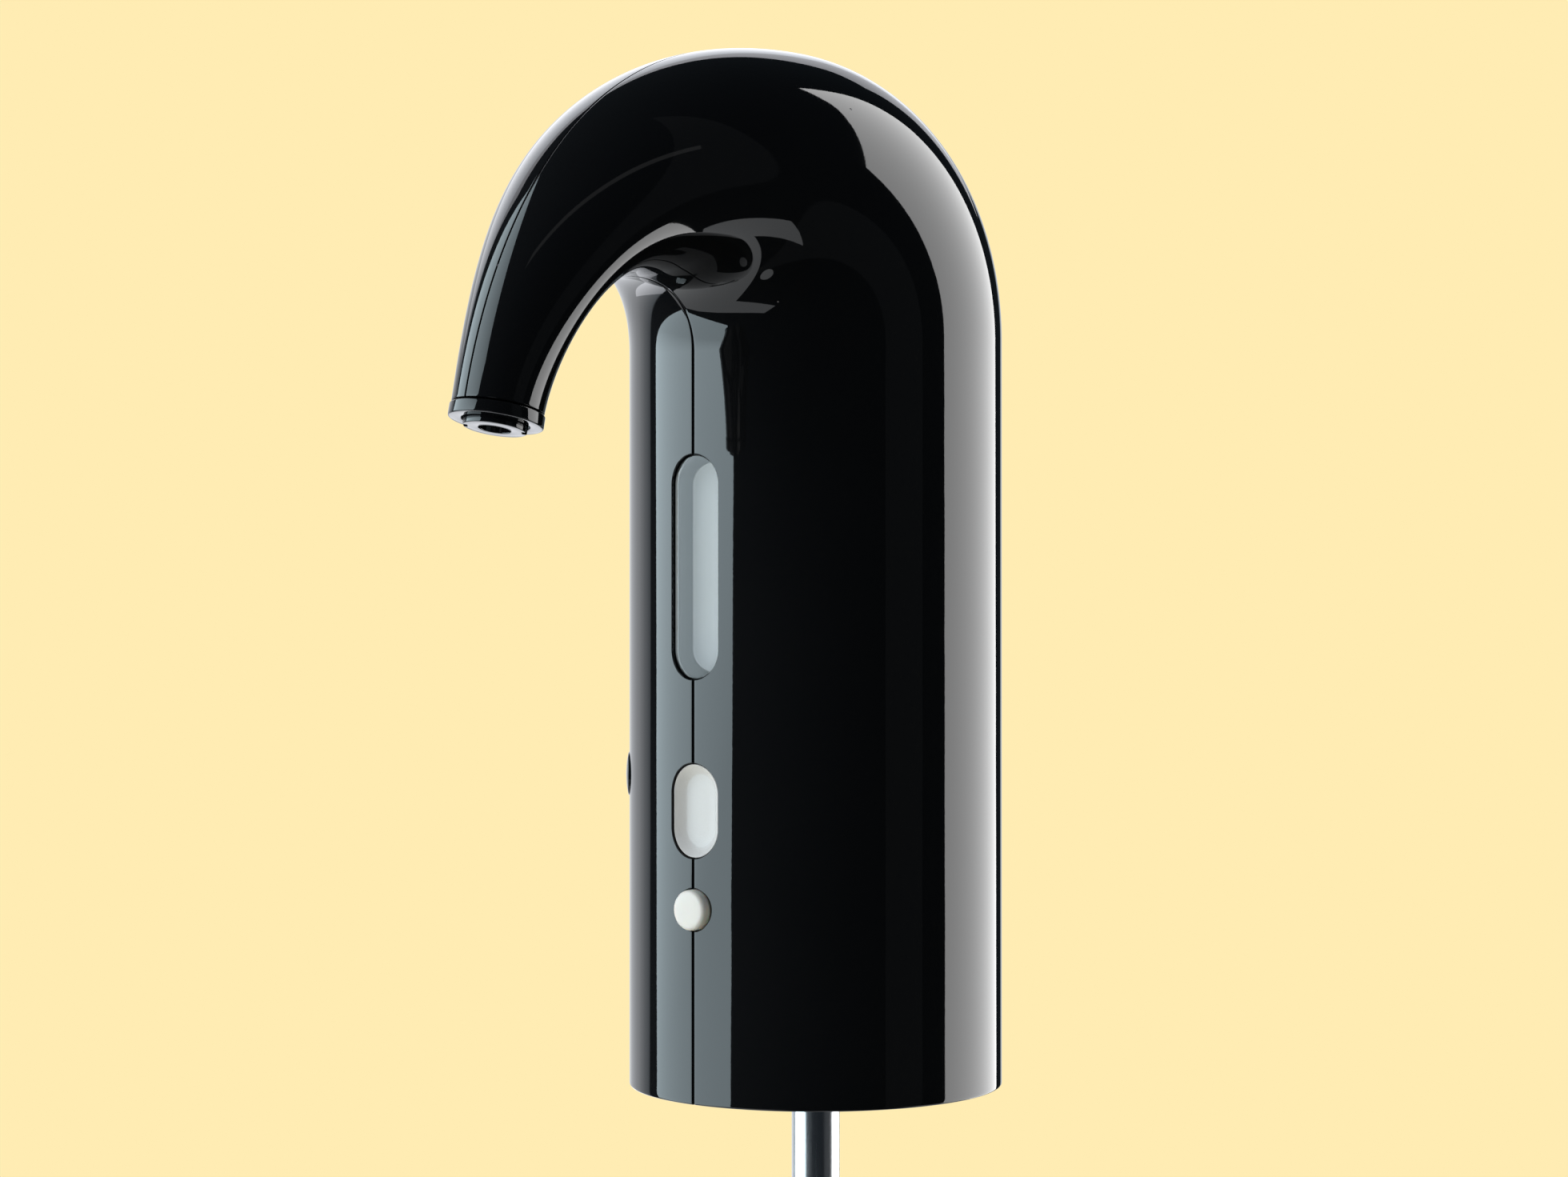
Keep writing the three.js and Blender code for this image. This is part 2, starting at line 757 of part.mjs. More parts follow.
function dipTubeRing() {
  const lip = outerTubeBottom - fitGap;
  return turned([
    [innerTubeRadius + boreGap, lip - tubeRingWall],
    [tubeRadius + tubeRingWall, lip - tubeRingWall],
    [tubeRadius + tubeRingWall, lip + tubeRingHeight],
    [tubeRadius + boreGap, lip + tubeRingHeight],
    [tubeRadius + boreGap, lip],
    [innerTubeRadius + boreGap, lip],
  ]);
}

function dipTubeLower() {
  const top = innerTubeBottom + innerTubeLength;
  return pipe(innerTubeRadius, innerTubeRadius - innerTubeWall, innerTubeBottom, top);
}

function dipTubeFoot() {
  const top = innerTubeBottom + footLength / 2;
  const bottom = innerTubeBottom - footLength / 2;
  const sleeve = turned([
    [innerTubeRadius - innerTubeWall, bottom],
    [footRadius - footWall, bottom],
    [footRadius, bottom + footWall],
    [footRadius, top],
    [innerTubeRadius + boreGap, top],
    [innerTubeRadius + boreGap, innerTubeBottom - fitGap],
    [innerTubeRadius - innerTubeWall, innerTubeBottom - fitGap],
  ]);
  const slot = (angle) => placed(
    block(-bodyRadius, bodyRadius, -footSlotWidth / 2, footSlotWidth / 2,
      bottom - overrun, bottom + footSlotHeight),
    new THREE.Matrix4().makeRotationZ(angle),
  );
  return cut(sleeve, slot(0), slot(Math.PI / 2));
}

// Wine hose: up from the manifold, over through the hook and down the spout to the nozzle
const nozzleCentre = outerTip.clone().add(innerTip).multiplyScalar(1 / 2);

function sectionCentre(share) {
  const { centre } = hookSection(share);
  return new THREE.Vector3(0, -centre.x, centre.y);
}

function alongSpout(distance) {
  const point = nozzleCentre.clone().addScaledVector(tipDirection, -distance);
  return new THREE.Vector3(0, -point.x, point.y);
}

const hoseStartHeight = manifoldTop + fitGap;
const hoseRouteShares = [0.5, 0.6, 0.7, 0.8];

function wineHose() {
  const straightRun = throatStartHeight - hoseStartHeight;
  const over = sectionCentre(hoseRouteShares[0]);
  const forwardRun = -wineBarbForward - over.y;
  const rise = over.z - throatStartHeight;
  const shoulder = new THREE.Vector3(
    0,
    -wineBarbForward - forwardRun * (1 - Math.cos(Math.PI / 4)),
    throatStartHeight + rise * Math.sin(Math.PI / 4),
  );
  const points = [
    new THREE.Vector3(0, -wineBarbForward, hoseStartHeight),
    new THREE.Vector3(0, -wineBarbForward, hoseStartHeight + straightRun / 2),
    new THREE.Vector3(0, -wineBarbForward, throatStartHeight),
    shoulder,
    ...hoseRouteShares.map(sectionCentre),
    alongSpout(insertBarbLength * 3 / 2),
    alongSpout(insertBarbLength),
    alongSpout(insertBarbLength / 2),
    alongSpout(fitGap),
  ];
  return swept(smoothLine(points), hoseRadius, hoseBore, hoseSteps, hoseSides);
}

// Places a nozzle piece: made with +Z pointing back up the spout from its end face
function atSpoutEnd(body) {
  const matrix = new THREE.Matrix4().makeRotationX(-spoutTilt);
  matrix.setPosition(0, -nozzleCentre.x, nozzleCentre.y);
  return placed(body, matrix);
}

const ringBottom = -fitGap - nozzleRingHeight;
const ringWebBottom = -fitGap - nozzleRingWeb;
const spigotRadius = spoutEndRadius - wallThickness - fitGap;
const spigotInner = spigotRadius - nozzleSpigotWall;
const insertRadius = nozzleRingHole - fitGap;

function nozzleRing() {
  return atSpoutEnd(turned([
    [nozzleRingHole, ringBottom],
    [nozzleRingRadius, ringBottom],
    [nozzleRingRadius, -fitGap],
    [spigotRadius, -fitGap],
    [spigotRadius, nozzleSpigotHeight],
    [spigotInner, nozzleSpigotHeight],
    [spigotInner, ringWebBottom],
    [nozzleRingHole, ringWebBottom],
  ], ringSides));
}

function nozzleInsert() {
  const bottom = ringBottom - insertProud;
  const shoulder = ringWebBottom - fitGap;
  const neck = spigotInner - boreGap;
  const body = turned([
    [insertBore, bottom],
    [insertRadius, bottom],
    [insertRadius, shoulder],
    [neck, shoulder],
    [neck, 0],
    [wineBarbRadius, 0],
    [wineBarbRadius - barbRidge, insertBarbLength],
    [insertNeckBore, insertBarbLength],
    [insertNeckBore, 0],
    [insertBore, shoulder],
  ], roundSides);
  const notch = (angle) => placed(
    block(insertRadius - insertNotchDepth, insertRadius + overrun,
      -insertNotchWidth / 2, insertNotchWidth / 2, bottom - overrun, ringWebBottom),
    new THREE.Matrix4().makeRotationZ(angle),
  );
  return atSpoutEnd(cut(body, notch(insertNotchAngle), notch(insertNotchAngle + Math.PI)));
}

// Window, tray and light strip
function windowLens() {
  const width = pillWidth - 2 * boreGap;
  const height = windowHeight - 2 * boreGap;
  const plate = fronted(pill(width, height), -bodyRadius, trayFront - fitGap, windowCentreHeight);
  return plate.intersect(rod(bodyRadius - windowRecess, 0, crestHeight, 2 * bodySides));
}

function windowTray() {
  const outline = pill(2 * trayHalfWidth, windowHeight + 2 * trayMargin);
  const outside = fronted(outline, trayFront, trayBack, windowCentreHeight);
  const pocket = fronted(
    pill(pillWidth - 2 * trayPocketMargin, windowHeight - 2 * trayPocketMargin),
    trayFront - overrun,
    trayPocketFloor,
    windowCentreHeight,
  );
  return cut(outside, pocket);
}

function ledStrip() {
  const stripBack = boardFront - fitGap;
  const stripFront = stripBack - ledStripThickness;
  const half = windowHeight / 2;
  const strip = block(-ledWidth, ledWidth, stripFront, stripBack,
    windowCentreHeight - half, windowCentreHeight + half);
  const lamps = [];
  for (let lamp = 0; lamp < ledCount; lamp += 1) {
    const height = windowCentreHeight - half + (windowHeight * (lamp + 1 / 2)) / ledCount;
    lamps.push(block(-ledWidth / 2, ledWidth / 2, stripFront - ledHeight + fitGap,
      stripBack - ledStripThickness / 2, height - ledWidth / 2, height + ledWidth / 2));
  }
  return join(strip, ...lamps);
}

// A front button: a head through the shell, a flange behind the wall and a stem to its switch
function frontButton(head, halfWidth, flangeShape, centreHeight) {
  const flangeFront = frontSeat(halfWidth + buttonFlangeMargin);
  const flangeBack = flangeFront + buttonFlangeThickness;
  const flange = fronted(flangeShape, flangeFront, flangeBack, centreHeight);
  const stem = frontRod(buttonStemDiameter / 2, flangeFront, Math.max(stemBack, flangeBack), 0, centreHeight);
  return join(head(flangeBack - buttonFlangeThickness / 2), flange, stem);
}

function mainButton() {
  const head = (back) => fronted(
    pill(pillWidth - 2 * boreGap, mainButtonHeight - 2 * boreGap),
    -bodyRadius - overrun,
    back,
    mainButtonCentreHeight,
  ).intersect(rod(bodyRadius, 0, crestHeight, 2 * bodySides));
  const flangeShape = pill(pillWidth + 2 * buttonFlangeMargin, mainButtonHeight + 2 * buttonFlangeMargin);
  return frontButton(head, pillWidth / 2, flangeShape, mainButtonCentreHeight);
}

function powerButton() {
  const radius = powerButtonDiameter / 2;
  const face = bodyRadius + powerButtonProud;
  const head = (back) => {
    const knob = turned([
      [0, -back],
      [radius, -back],
      [radius, face - powerButtonEdge],
      [radius - powerButtonEdge / 4, face - powerButtonEdge / 4],
      [radius - powerButtonEdge, face],
      [0, face],
    ]);
    const matrix = new THREE.Matrix4().makeRotationX(Math.PI / 2);
    matrix.setPosition(0, 0, powerButtonCentreHeight);
    return placed(knob, matrix);
  };
  return frontButton(head, radius, circle(radius + buttonFlangeMargin), powerButtonCentreHeight);
}

// Side button, its spring and the release valve on one axis
const sideFlangeRadius = sideButtonDiameter / 2 + buttonFlangeMargin;
const sideFlangeFront = Math.sqrt(innerRadius ** 2 - sideFlangeRadius ** 2) - fitGap;
const sideSkirtEnd = sideFlangeFront - sideButtonSkirt;
const valvePinTip = sideFlangeFront - buttonFlangeThickness - buttonTravel - boreGap;
const valveTop = sideFlangeFront - buttonFlangeThickness - valveSpringGap;
const valveBottom = manifoldRadius + branchRadius + fitGap;

function sideButton() {
  const radius = sideButtonDiameter / 2;
  const face = bodyRadius + sideButtonProud;
  return alongSide(turned([
    [0, sideFlangeFront - buttonFlangeThickness],
    [springRadius + springWire + boreGap, sideFlangeFront - buttonFlangeThickness],
    [springRadius + springWire + boreGap, sideSkirtEnd],
    [sideFlangeRadius, sideSkirtEnd],
    [sideFlangeRadius, sideFlangeFront],
    [radius, sideFlangeFront],
    [radius, face - sideButtonProud + sideButtonRim],
    [radius * 2 / 3, face - sideButtonRim],
    [0, face],
  ], roundSides), 0);
}

function sideButtonSpring() {
  const start = valveTop + fitGap + springWire;
  const end = sideFlangeFront - buttonFlangeThickness - buttonTravel - fitGap - springWire;
  const points = [];
  for (let step = 0; step <= springTurns * springTurnSteps; step += 1) {
    const turn = (2 * Math.PI * step) / springTurnSteps;
    const share = step / (springTurns * springTurnSteps);
    points.push(new THREE.Vector3(
      springRadius * Math.cos(turn),
      springRadius * Math.sin(turn),
      start + (end - start) * share,
    ));
  }
  const curve = new THREE.CatmullRomCurve3(points);
  return alongSide(swept(curve, springWire / 2, 0, springTurns * springTurnSteps, leadSides), 0);
}

function releaseValve() {
  const body = turned([
    [0, (valveBottom + valveTop) / 2],
    [airDuctRadius, (valveBottom + valveTop) / 2],
    [airDuctRadius, valveBottom],
    [valveRadius, valveBottom],
    [valveRadius, valveTop],
    [valvePinRadius, valveTop],
    [valvePinRadius, valvePinTip],
    [0, valvePinTip],
  ], smallSides);
  return alongSide(body, 0);
}

// Chassis: floor, legs, cell cradle, pump cradle and board posts
const cellDistance = innerRadius - cradleWall - 2 * fitGap - cellRadius;
const pumpDistance = innerRadius - fitGap - pumpRadius;
const [cellX, cellY] = around(cellAngle, cellDistance);
const [pumpX, pumpY] = around(pumpAngle, pumpDistance);
const postX = boardWidth / 2 - boardPostWidth / 2;
const legBottom = cupTop + fitGap;

function cradle(inner, x, y, height) {
  return pipe(inner + cradleWall, inner, chassisBottom, chassisTop + height, roundSides, x, y);
}

function chassis() {
  const plate = rod(innerRadius - fitGap, chassisBottom, chassisTop, bodySides);
  const legs = legAngles.map((angle) => {
    const [x, y] = around(angle, legDistance);
    return rod(legRadius, legBottom, chassisTop, smallSides, x, y);
  });
  const cellBore = cellRadius + fitGap;
  const pumpBore = motorRadius + sleeveWall + 2 * fitGap;
  const posts = [-1, 1].map((side) => block(
    side * postX - boardPostWidth / 2,
    side * postX + boardPostWidth / 2,
    boardBack + fitGap,
    boardBack + fitGap + boardPostDepth,
    chassisBottom,
    boardTopHeight,
  ));
  const frames = join(
    cradle(cellBore, cellX, cellY, cellCradleHeight),
    cradle(pumpBore, pumpX, pumpY, pumpCradleHeight),
  ).intersect(rod(innerRadius - fitGap, chassisBottom, crestHeight, bodySides));
  const bores = [
    rod(cellBore, chassisTop, crestHeight, roundSides, cellX, cellY),
    rod(pumpBore, chassisTop, crestHeight, roundSides, pumpX, pumpY),
    rod(hoseRadius + fitGap, chassisBottom - overrun, chassisTop + overrun, smallSides, 0, -wineBarbForward),
    rod(airHoseRadius + fitGap, chassisBottom - overrun, chassisTop + overrun, smallSides,
      airBarbX, airBarbY),
    block(-boardWidth / 2 - fitGap, boardWidth / 2 + fitGap, -bodyRadius, boardBack + fitGap,
      chassisBottom - overrun, boardTopHeight + overrun),
    ...floorLeadPlaces.map(([x, y]) => rod(leadRadius + fitGap, chassisBottom - overrun, chassisTop + overrun,
      smallSides, x, y)),
  ];
  const screwHoles = legAngles.flatMap((angle) => {
    const [x, y] = around(angle, legDistance);
    return [
      rod(screwHoleRadius, legBottom - overrun, chassisTop + overrun, smallSides, x, y),
      rod(screwHeadRadius + boreGap, legBottom + chassisScrewLength - cupTopThickness, chassisTop + overrun,
        smallSides, x, y),
    ];
  });
  const boardHoles = boardScrewPlaces.map(([x, z]) => frontRod(
    screwHoleRadius,
    boardBack - overrun,
    boardBack + fitGap + boardPostDepth + overrun,
    x,
    z,
  ));
  return cut(join(plate, ...legs, ...posts, frames), ...bores, ...screwHoles, ...boardHoles);
}

const floorLeadPlaces = [
  [cellX, cellY - cellRadius / 2],
  [pumpX, pumpY - motorRadius * 3 / 4],
  [pumpX + leadBend, pumpY - motorRadius * 3 / 4],
];
const boardScrewPlaces = [
  [-postX, boardTopHeight - boardPostWidth],
  [postX, chassisTop + boardPostWidth],
];

function batteryCell() {
  const top = seatHeight + cellLength;
  return shifted(turned([
    [0, seatHeight],
    [cellRadius - boreGap, seatHeight],
    [cellRadius, seatHeight + boreGap],
    [cellRadius, top - cellCapHeight - boreGap],
    [cellRadius - boreGap, top - cellCapHeight],
    [cellCapRadius, top - cellCapHeight],
    [cellCapRadius, top],
    [0, top],
  ]), cellX, cellY, 0);
}

// Diaphragm pump, stacked upwards on the pump's axis
const motorTop = seatHeight + motorLength;
const caseBottom = motorTop + fitGap;
const caseTop = caseBottom + caseHeight;
const caseFloorTop = caseBottom + caseFloor;
const crankBottom = motorTop + motorNoseHeight + caseFloor;
const crankTop = crankBottom + crankHeight;
const wobbleBottom = crankTop + fitGap;
const wobbleTop = wobbleBottom + wobblePlateThickness;
const diaphragmBottom = caseTop + fitGap;
const diaphragmTop = diaphragmBottom + diaphragmThickness;
const cupBottom = wobbleTop + fitGap;
const valvePlateBottom = diaphragmTop + fitGap;
const valvePlateTop = valvePlateBottom + valvePlateThickness;
const capBottom = valvePlateTop + fitGap;
const capTop = capBottom + capHeight;
const pumpScrewDistance = pumpRadius - caseWall / 2;
const caseInner = pumpRadius - caseWall;

function pumpScrewPlace(index) {
  const angle = (2 * Math.PI * (index + 1 / 2)) / pumpScrewCount;
  return around(angle, pumpScrewDistance);
}

function pumpHoles(bottom, top) {
  return upTo(pumpScrewCount).map((index) => {
    const [x, y] = pumpScrewPlace(index);
    return rod(screwHoleRadius, bottom, top, smallSides, x, y);
  });
}

function cupPlaces() {
  const step = (2 * Math.PI) / diaphragmCupCount;
  return upTo(diaphragmCupCount).map((index) => around(step * index, diaphragmCupCentre));
}

function onPump(body) {
  return shifted(body, pumpX, pumpY, 0);
}

function pumpMotor() {
  const hole = shaftRadius + fitGap;
  return onPump(turned([
    [0, seatHeight],
    [motorRadius - wallThickness / 2, seatHeight],
    [motorRadius, seatHeight + wallThickness / 2],
    [motorRadius, motorTop],
    [motorNoseRadius, motorTop],
    [motorNoseRadius, motorTop + motorNoseHeight],
    [hole, motorTop + motorNoseHeight],
    [hole, motorTop - shaftSeatDepth - fitGap],
    [0, motorTop - shaftSeatDepth - fitGap],
  ]));
}

function pumpSleeve() {
  const inner = motorRadius + fitGap;
  return onPump(pipe(inner + sleeveWall, inner, seatHeight, seatHeight + sleeveHeight));
}

function motorShaft() {
  return onPump(rod(shaftRadius, motorTop - shaftSeatDepth, crankTop - fitGap, smallSides));
}

function pumpCrank() {
  const bore = shaftRadius + boreGap;
  const hub = rod(crankRadius, crankBottom, crankTop, roundSides);
  const pin = rod(crankPinRadius, crankTop - fitGap, crankTop + crankPinHeight, smallSides, crankThrow, 0);
  const shaftHole = rod(bore, crankBottom - overrun, crankTop - fitGap + boreGap / 2, smallSides);
  return onPump(cut(join(hub, pin), shaftHole));
}

function pumpCase() {
  const noseHole = motorNoseRadius + fitGap;
  const body = turned([
    [noseHole, caseBottom],
    [pumpRadius, caseBottom],
    [pumpRadius, caseTop],
    [caseInner, caseTop],
    [caseInner, caseFloorTop],
    [noseHole, caseFloorTop],
  ]);
  const inlet = block(-pumpRadius - overrun, -caseInner + overrun, -valveHoleRadius, valveHoleRadius,
    caseFloorTop + caseFloor, caseFloorTop + 2 * caseFloor);
  return onPump(cut(body, inlet, ...pumpHoles(caseFloorTop, caseTop + overrun)));
}

function wobblePlate() {
  const hub = rod(wobbleHubRadius, wobbleBottom, wobbleTop);
  const arms = cupPlaces().map(([x, y]) => {
    const reach = block(0, diaphragmCupCentre + wobbleArmWidth / 2, -wobbleArmWidth / 2, wobbleArmWidth / 2,
      wobbleBottom, wobbleTop);
    return placed(reach, new THREE.Matrix4().makeRotationZ(Math.atan2(y, x)));
  });
  const pinHole = rod(crankThrow + crankPinRadius + fitGap, wobbleBottom - overrun, wobbleTop + overrun);
  return onPump(cut(join(hub, ...arms), pinHole));
}

function pumpDiaphragm() {
  const disc = rod(pumpRadius - fitGap, diaphragmBottom, diaphragmTop);
  const cups = cupPlaces().map(([x, y]) => rod(diaphragmCupRadius, cupBottom, diaphragmTop,
    smallSides, x, y));
  const hollows = cupPlaces().map(([x, y]) => rod(diaphragmCupRadius - diaphragmCupWall,
    cupBottom + diaphragmCupWall, diaphragmTop + overrun, smallSides, x, y));
  const holes = pumpHoles(diaphragmBottom - overrun, diaphragmTop + overrun);
  return onPump(cut(join(disc, ...cups), ...hollows, ...holes));
}

function valvePlate() {
  const plate = rod(pumpRadius, valvePlateBottom, valvePlateTop);
  const ports = cupPlaces().map(([x, y]) => rod(valveHoleRadius, valvePlateBottom - overrun,
    valvePlateTop + overrun, smallSides / 2, x, y));
  return onPump(cut(plate, ...ports, ...pumpHoles(valvePlateBottom - overrun, valvePlateTop + overrun)));
}

function pumpCap() {
  const body = turned([
    [airBarbBore, capTop - capWall],
    [capPlenumRadius, capTop - capWall],
    [capPlenumRadius, capBottom],
    [pumpRadius, capBottom],
    [pumpRadius, capTop - capWall / 2],
    [pumpRadius - capWall / 2, capTop],
    [airBarbRadius, capTop],
    [airBarbRadius, capTop + airBarbLength],
    [airBarbBore, capTop + airBarbLength],
  ]);
  const heads = upTo(pumpScrewCount).map((index) => {
    const [x, y] = pumpScrewPlace(index);
    return rod(screwHeadRadius + boreGap, capTop - screwHeadHeight, capTop + overrun, smallSides, x, y);
  });
  return onPump(cut(body, ...pumpHoles(capBottom - overrun, capTop + overrun), ...heads));
}

// Air line: from the pump cap over to the rear, through the check valve and down to the manifold
const checkValveHeight = capTop - checkValveDrop;
const checkValveTop = checkValveHeight + checkValveLength;
const [airHoseX, airHoseY] = around(airArmAngle, innerRadius - airHoseInset);

function upperAirHose() {
  const start = capTop + fitGap;
  const points = [
    new THREE.Vector3(pumpX, pumpY, start),
    new THREE.Vector3(pumpX, pumpY, start + barbHeight / 2),
    new THREE.Vector3(pumpX, pumpY, start + barbHeight),
    new THREE.Vector3((pumpX * 3 + airHoseX) / 4, (pumpY * 3 + airHoseY) / 4, start + airHoseTopRise),
    new THREE.Vector3((pumpX + airHoseX * 3) / 4, (pumpY + airHoseY * 3) / 4, start + airHoseTopRise),
    new THREE.Vector3(airHoseX, airHoseY, start + barbHeight / 2),
    new THREE.Vector3(airHoseX, airHoseY, checkValveTop + barbHeight),
    new THREE.Vector3(airHoseX, airHoseY, checkValveTop + fitGap),
  ];
  return swept(smoothLine(points), airHoseRadius, airHoseBore, airHoseSteps, hoseSides);
}

function checkValve() {
  const low = checkValveHeight;
  return shifted(turned([
    [airBarbBore, low - airBarbLength],
    [airBarbRadius, low - airBarbLength],
    [airBarbRadius, low],
    [checkValveRadius - boreGap, low],
    [checkValveRadius, low + boreGap],
    [checkValveRadius, checkValveTop - boreGap],
    [checkValveRadius - boreGap, checkValveTop],
    [airBarbRadius, checkValveTop],
    [airBarbRadius, checkValveTop + airBarbLength],
    [airBarbBore, checkValveTop + airBarbLength],
  ], smallSides), airHoseX, airHoseY, 0);
}

function lowerAirHose() {
  const end = manifoldTop + fitGap;
  const start = checkValveHeight - fitGap;
  const points = [
    new THREE.Vector3(airHoseX, airHoseY, start),
    new THREE.Vector3(airHoseX, airHoseY, start - barbHeight),
    new THREE.Vector3(airBarbX, airBarbY, end + barbHeight * 2),
    new THREE.Vector3(airBarbX, airBarbY, end + barbHeight),
    new THREE.Vector3(airBarbX, airBarbY, end + barbHeight / 2),
    new THREE.Vector3(airBarbX, airBarbY, end),
  ];
  return swept(smoothLine(points), airHoseRadius, airHoseBore, airHoseSteps / 2, hoseSides);
}

// Boards, switches, socket and leads
function mainBoard() {
  const plate = block(-boardWidth / 2, boardWidth / 2, boardFront, boardBack,
    boardBottomHeight, boardTopHeight);
  const holes = boardScrewPlaces.map(([x, z]) => frontRod(screwHoleRadius,
    boardFront - overrun, boardBack + overrun, x, z));
  const chip = block(-boardWidth / 4, boardWidth / 4,
    boardFront - boardThickness / 2, boardFront + boardThickness / 2,
    mainButtonCentreHeight + switchWidth, mainButtonCentreHeight + 2 * switchWidth);
  return cut(join(plate, chip), ...holes);
}

function tactSwitch(centreHeight) {
  const half = switchWidth / 2;
  const body = block(-half, half, switchFront, boardFront - fitGap, centreHeight - half, centreHeight + half);
  const nub = frontRod(switchNubRadius, nubFront, switchFront + switchNubHeight, 0, centreHeight);
  return join(body, nub);
}

const socketBack = bodyRadius - socketInset;
const socketFront = socketBack - socketLength;

function chargeSocket() {
  const shell = fronted(pill(socketWidth, socketThickness), socketFront, socketBack, socketCentreHeight);
  const mouth = fronted(
    pill(socketWidth - 2 * socketWall, socketThickness - 2 * socketWall),
    socketFront + socketWall * 2,
    socketBack + overrun,
    socketCentreHeight,
  );
  const tongue = block(-socketTongueWidth / 2, socketTongueWidth / 2,
    socketFront + socketWall, socketBack - socketInset,
    socketCentreHeight - socketTongue / 2, socketCentreHeight + socketTongue / 2);
  return join(cut(shell, mouth), tongue);
}

function chargeBoard() {
  const back = socketFront - fitGap;
  return block(-chargeBoardWidth / 2, chargeBoardWidth / 2, back - boardThickness, back,
    chargeBoardBottom, chargeBoardTop);
}

function lead(points) {
  const route = points.map(([x, y, z]) => new THREE.Vector3(x, y, z));
  return swept(smoothLine(route), leadRadius, 0, leadSteps, leadSides);
}

const boardEnd = boardBack + fitGap;
const cellTop = seatHeight + cellLength;
const underFloor = chassisBottom - leadBend;
const edgePadX = boardWidth / 2 - 2 * leadRadius;
const legClearX = around(legAngles[2], legDistance)[0] + legRadius + 2 * leadRadius;

function batteryLead() {
  const padX = -boardWidth / 5;
  const padHeight = boardTopHeight - boardPostWidth;
  return lead([
    [cellX, cellY, cellTop + fitGap],
    [cellX, cellY, cellTop + leadBend],
    [(cellX + padX) / 2, (cellY + boardEnd) / 2, cellTop],
    [padX, boardEnd + 2 * leadBend, padHeight + leadBend],
    [padX, boardEnd + leadBend, padHeight],
    [padX, boardEnd, padHeight],
  ]);
}

// From a hole in the chassis floor forward to the back of the board
function floorLead([x, y], padX, clearX, drop = 0) {
  const height = underFloor - drop;
  return lead([
    [x, y, seatHeight - fitGap],
    [x, y, chassisBottom],
    [x, y - leadBend / 2, height],
    [clearX, (y + boardEnd) / 2, height],
    [(clearX + padX) / 2, boardEnd + leadBend, height],
    [padX, boardEnd + leadBend / 2, height],
    [padX, boardEnd, height],
  ]);
}

// Round the cup from the charging board to the foot of the main board
function chargeLead() {
  const distance = (cupOuterRadius + innerRadius) / 2;
  const height = chargeBoardTop + leadBend;
  const start = [chargeBoardWidth / 4, socketFront - fitGap - boardThickness / 2, chargeBoardTop + fitGap];
  const startAngle = Math.atan2(start[1], start[0]);
  const padX = edgePadX;
  const endAngle = Math.atan2(boardEnd, padX);
  const arc = [1 / 8, 1 / 4, 1 / 2, 3 / 4, 7 / 8].map((share) => {
    const [x, y] = around(startAngle + (endAngle - startAngle) * share, distance);
    return [x, y, height];
  });
  const rise = [start[0], start[1], height - leadBend / 2];
  return lead([start, rise, ...arc, [padX, boardEnd + leadBend, height], [padX, boardEnd, height]]);
}

// A screw along Z with its head at the low end, turned over when it is driven from above
function screw(length) {
  return turned([
    [0, screwSocketDepth],
    [screwSocketRadius, screwSocketDepth],
    [screwSocketRadius, 0],
    [screwHeadRadius, 0],
    [screwHeadRadius, screwHeadHeight],
    [screwRadius, screwHeadHeight],
    [screwRadius, length - screwRadius],
    [0, length],
  ], screwSides);
}

function upwardScrew(length, x, y, headBottom) {
  return shifted(screw(length), x, y, headBottom);
}

function downwardScrew(length, x, y, headTop) {
  const matrix = new THREE.Matrix4().makeRotationX(Math.PI);
  matrix.setPosition(x, y, headTop);
  return placed(screw(length), matrix);
}

function backwardScrew(length, x, headFront, z) {
  const matrix = new THREE.Matrix4().makeRotationX(-Math.PI / 2);
  matrix.setPosition(x, headFront, z);
  return placed(screw(length), matrix);
}

// Finishes
const finishes = {
  glossBlack: { color: 0x08090b, roughness: 0.06, metalness: 0 },
  satinSilver: { color: 0xd9dfe0, roughness: 0.35, metalness: 0.6 },
  ivory: { color: 0xe9e2d4, roughness: 0.45, metalness: 0 },
  clear: { color: 0xdfe8ea, roughness: 0.04, metalness: 0 },
  paleGrey: { color: 0xbcc7cb, roughness: 0.5, metalness: 0 },
  blackPlastic: { color: 0x141517, roughness: 0.5, metalness: 0 },
  silicone: { color: 0x2c2e31, roughness: 0.7, metalness: 0 },
  clearSilicone: { color: 0xd6dbd8, roughness: 0.4, metalness: 0 },
  steel: { color: 0xb9bcc0, roughness: 0.3, metalness: 1 },
  board: { color: 0x14502c, roughness: 0.5, metalness: 0 },
  cellWrap: { color: 0x2f6fa8, roughness: 0.4, metalness: 0 },
  redWire: { color: 0xa82020, roughness: 0.5, metalness: 0 },
  blackWire: { color: 0x101010, roughness: 0.5, metalness: 0 },
  lampYellow: { color: 0xe8e3b0, roughness: 0.4, metalness: 0 },
};

const aerator = new THREE.Group();

function add(name, body, finish) {
  const mesh = new THREE.Mesh(geometryOf(body), new THREE.MeshStandardMaterial(finishes[finish]));
  mesh.name = name;
  aerator.add(mesh);
}

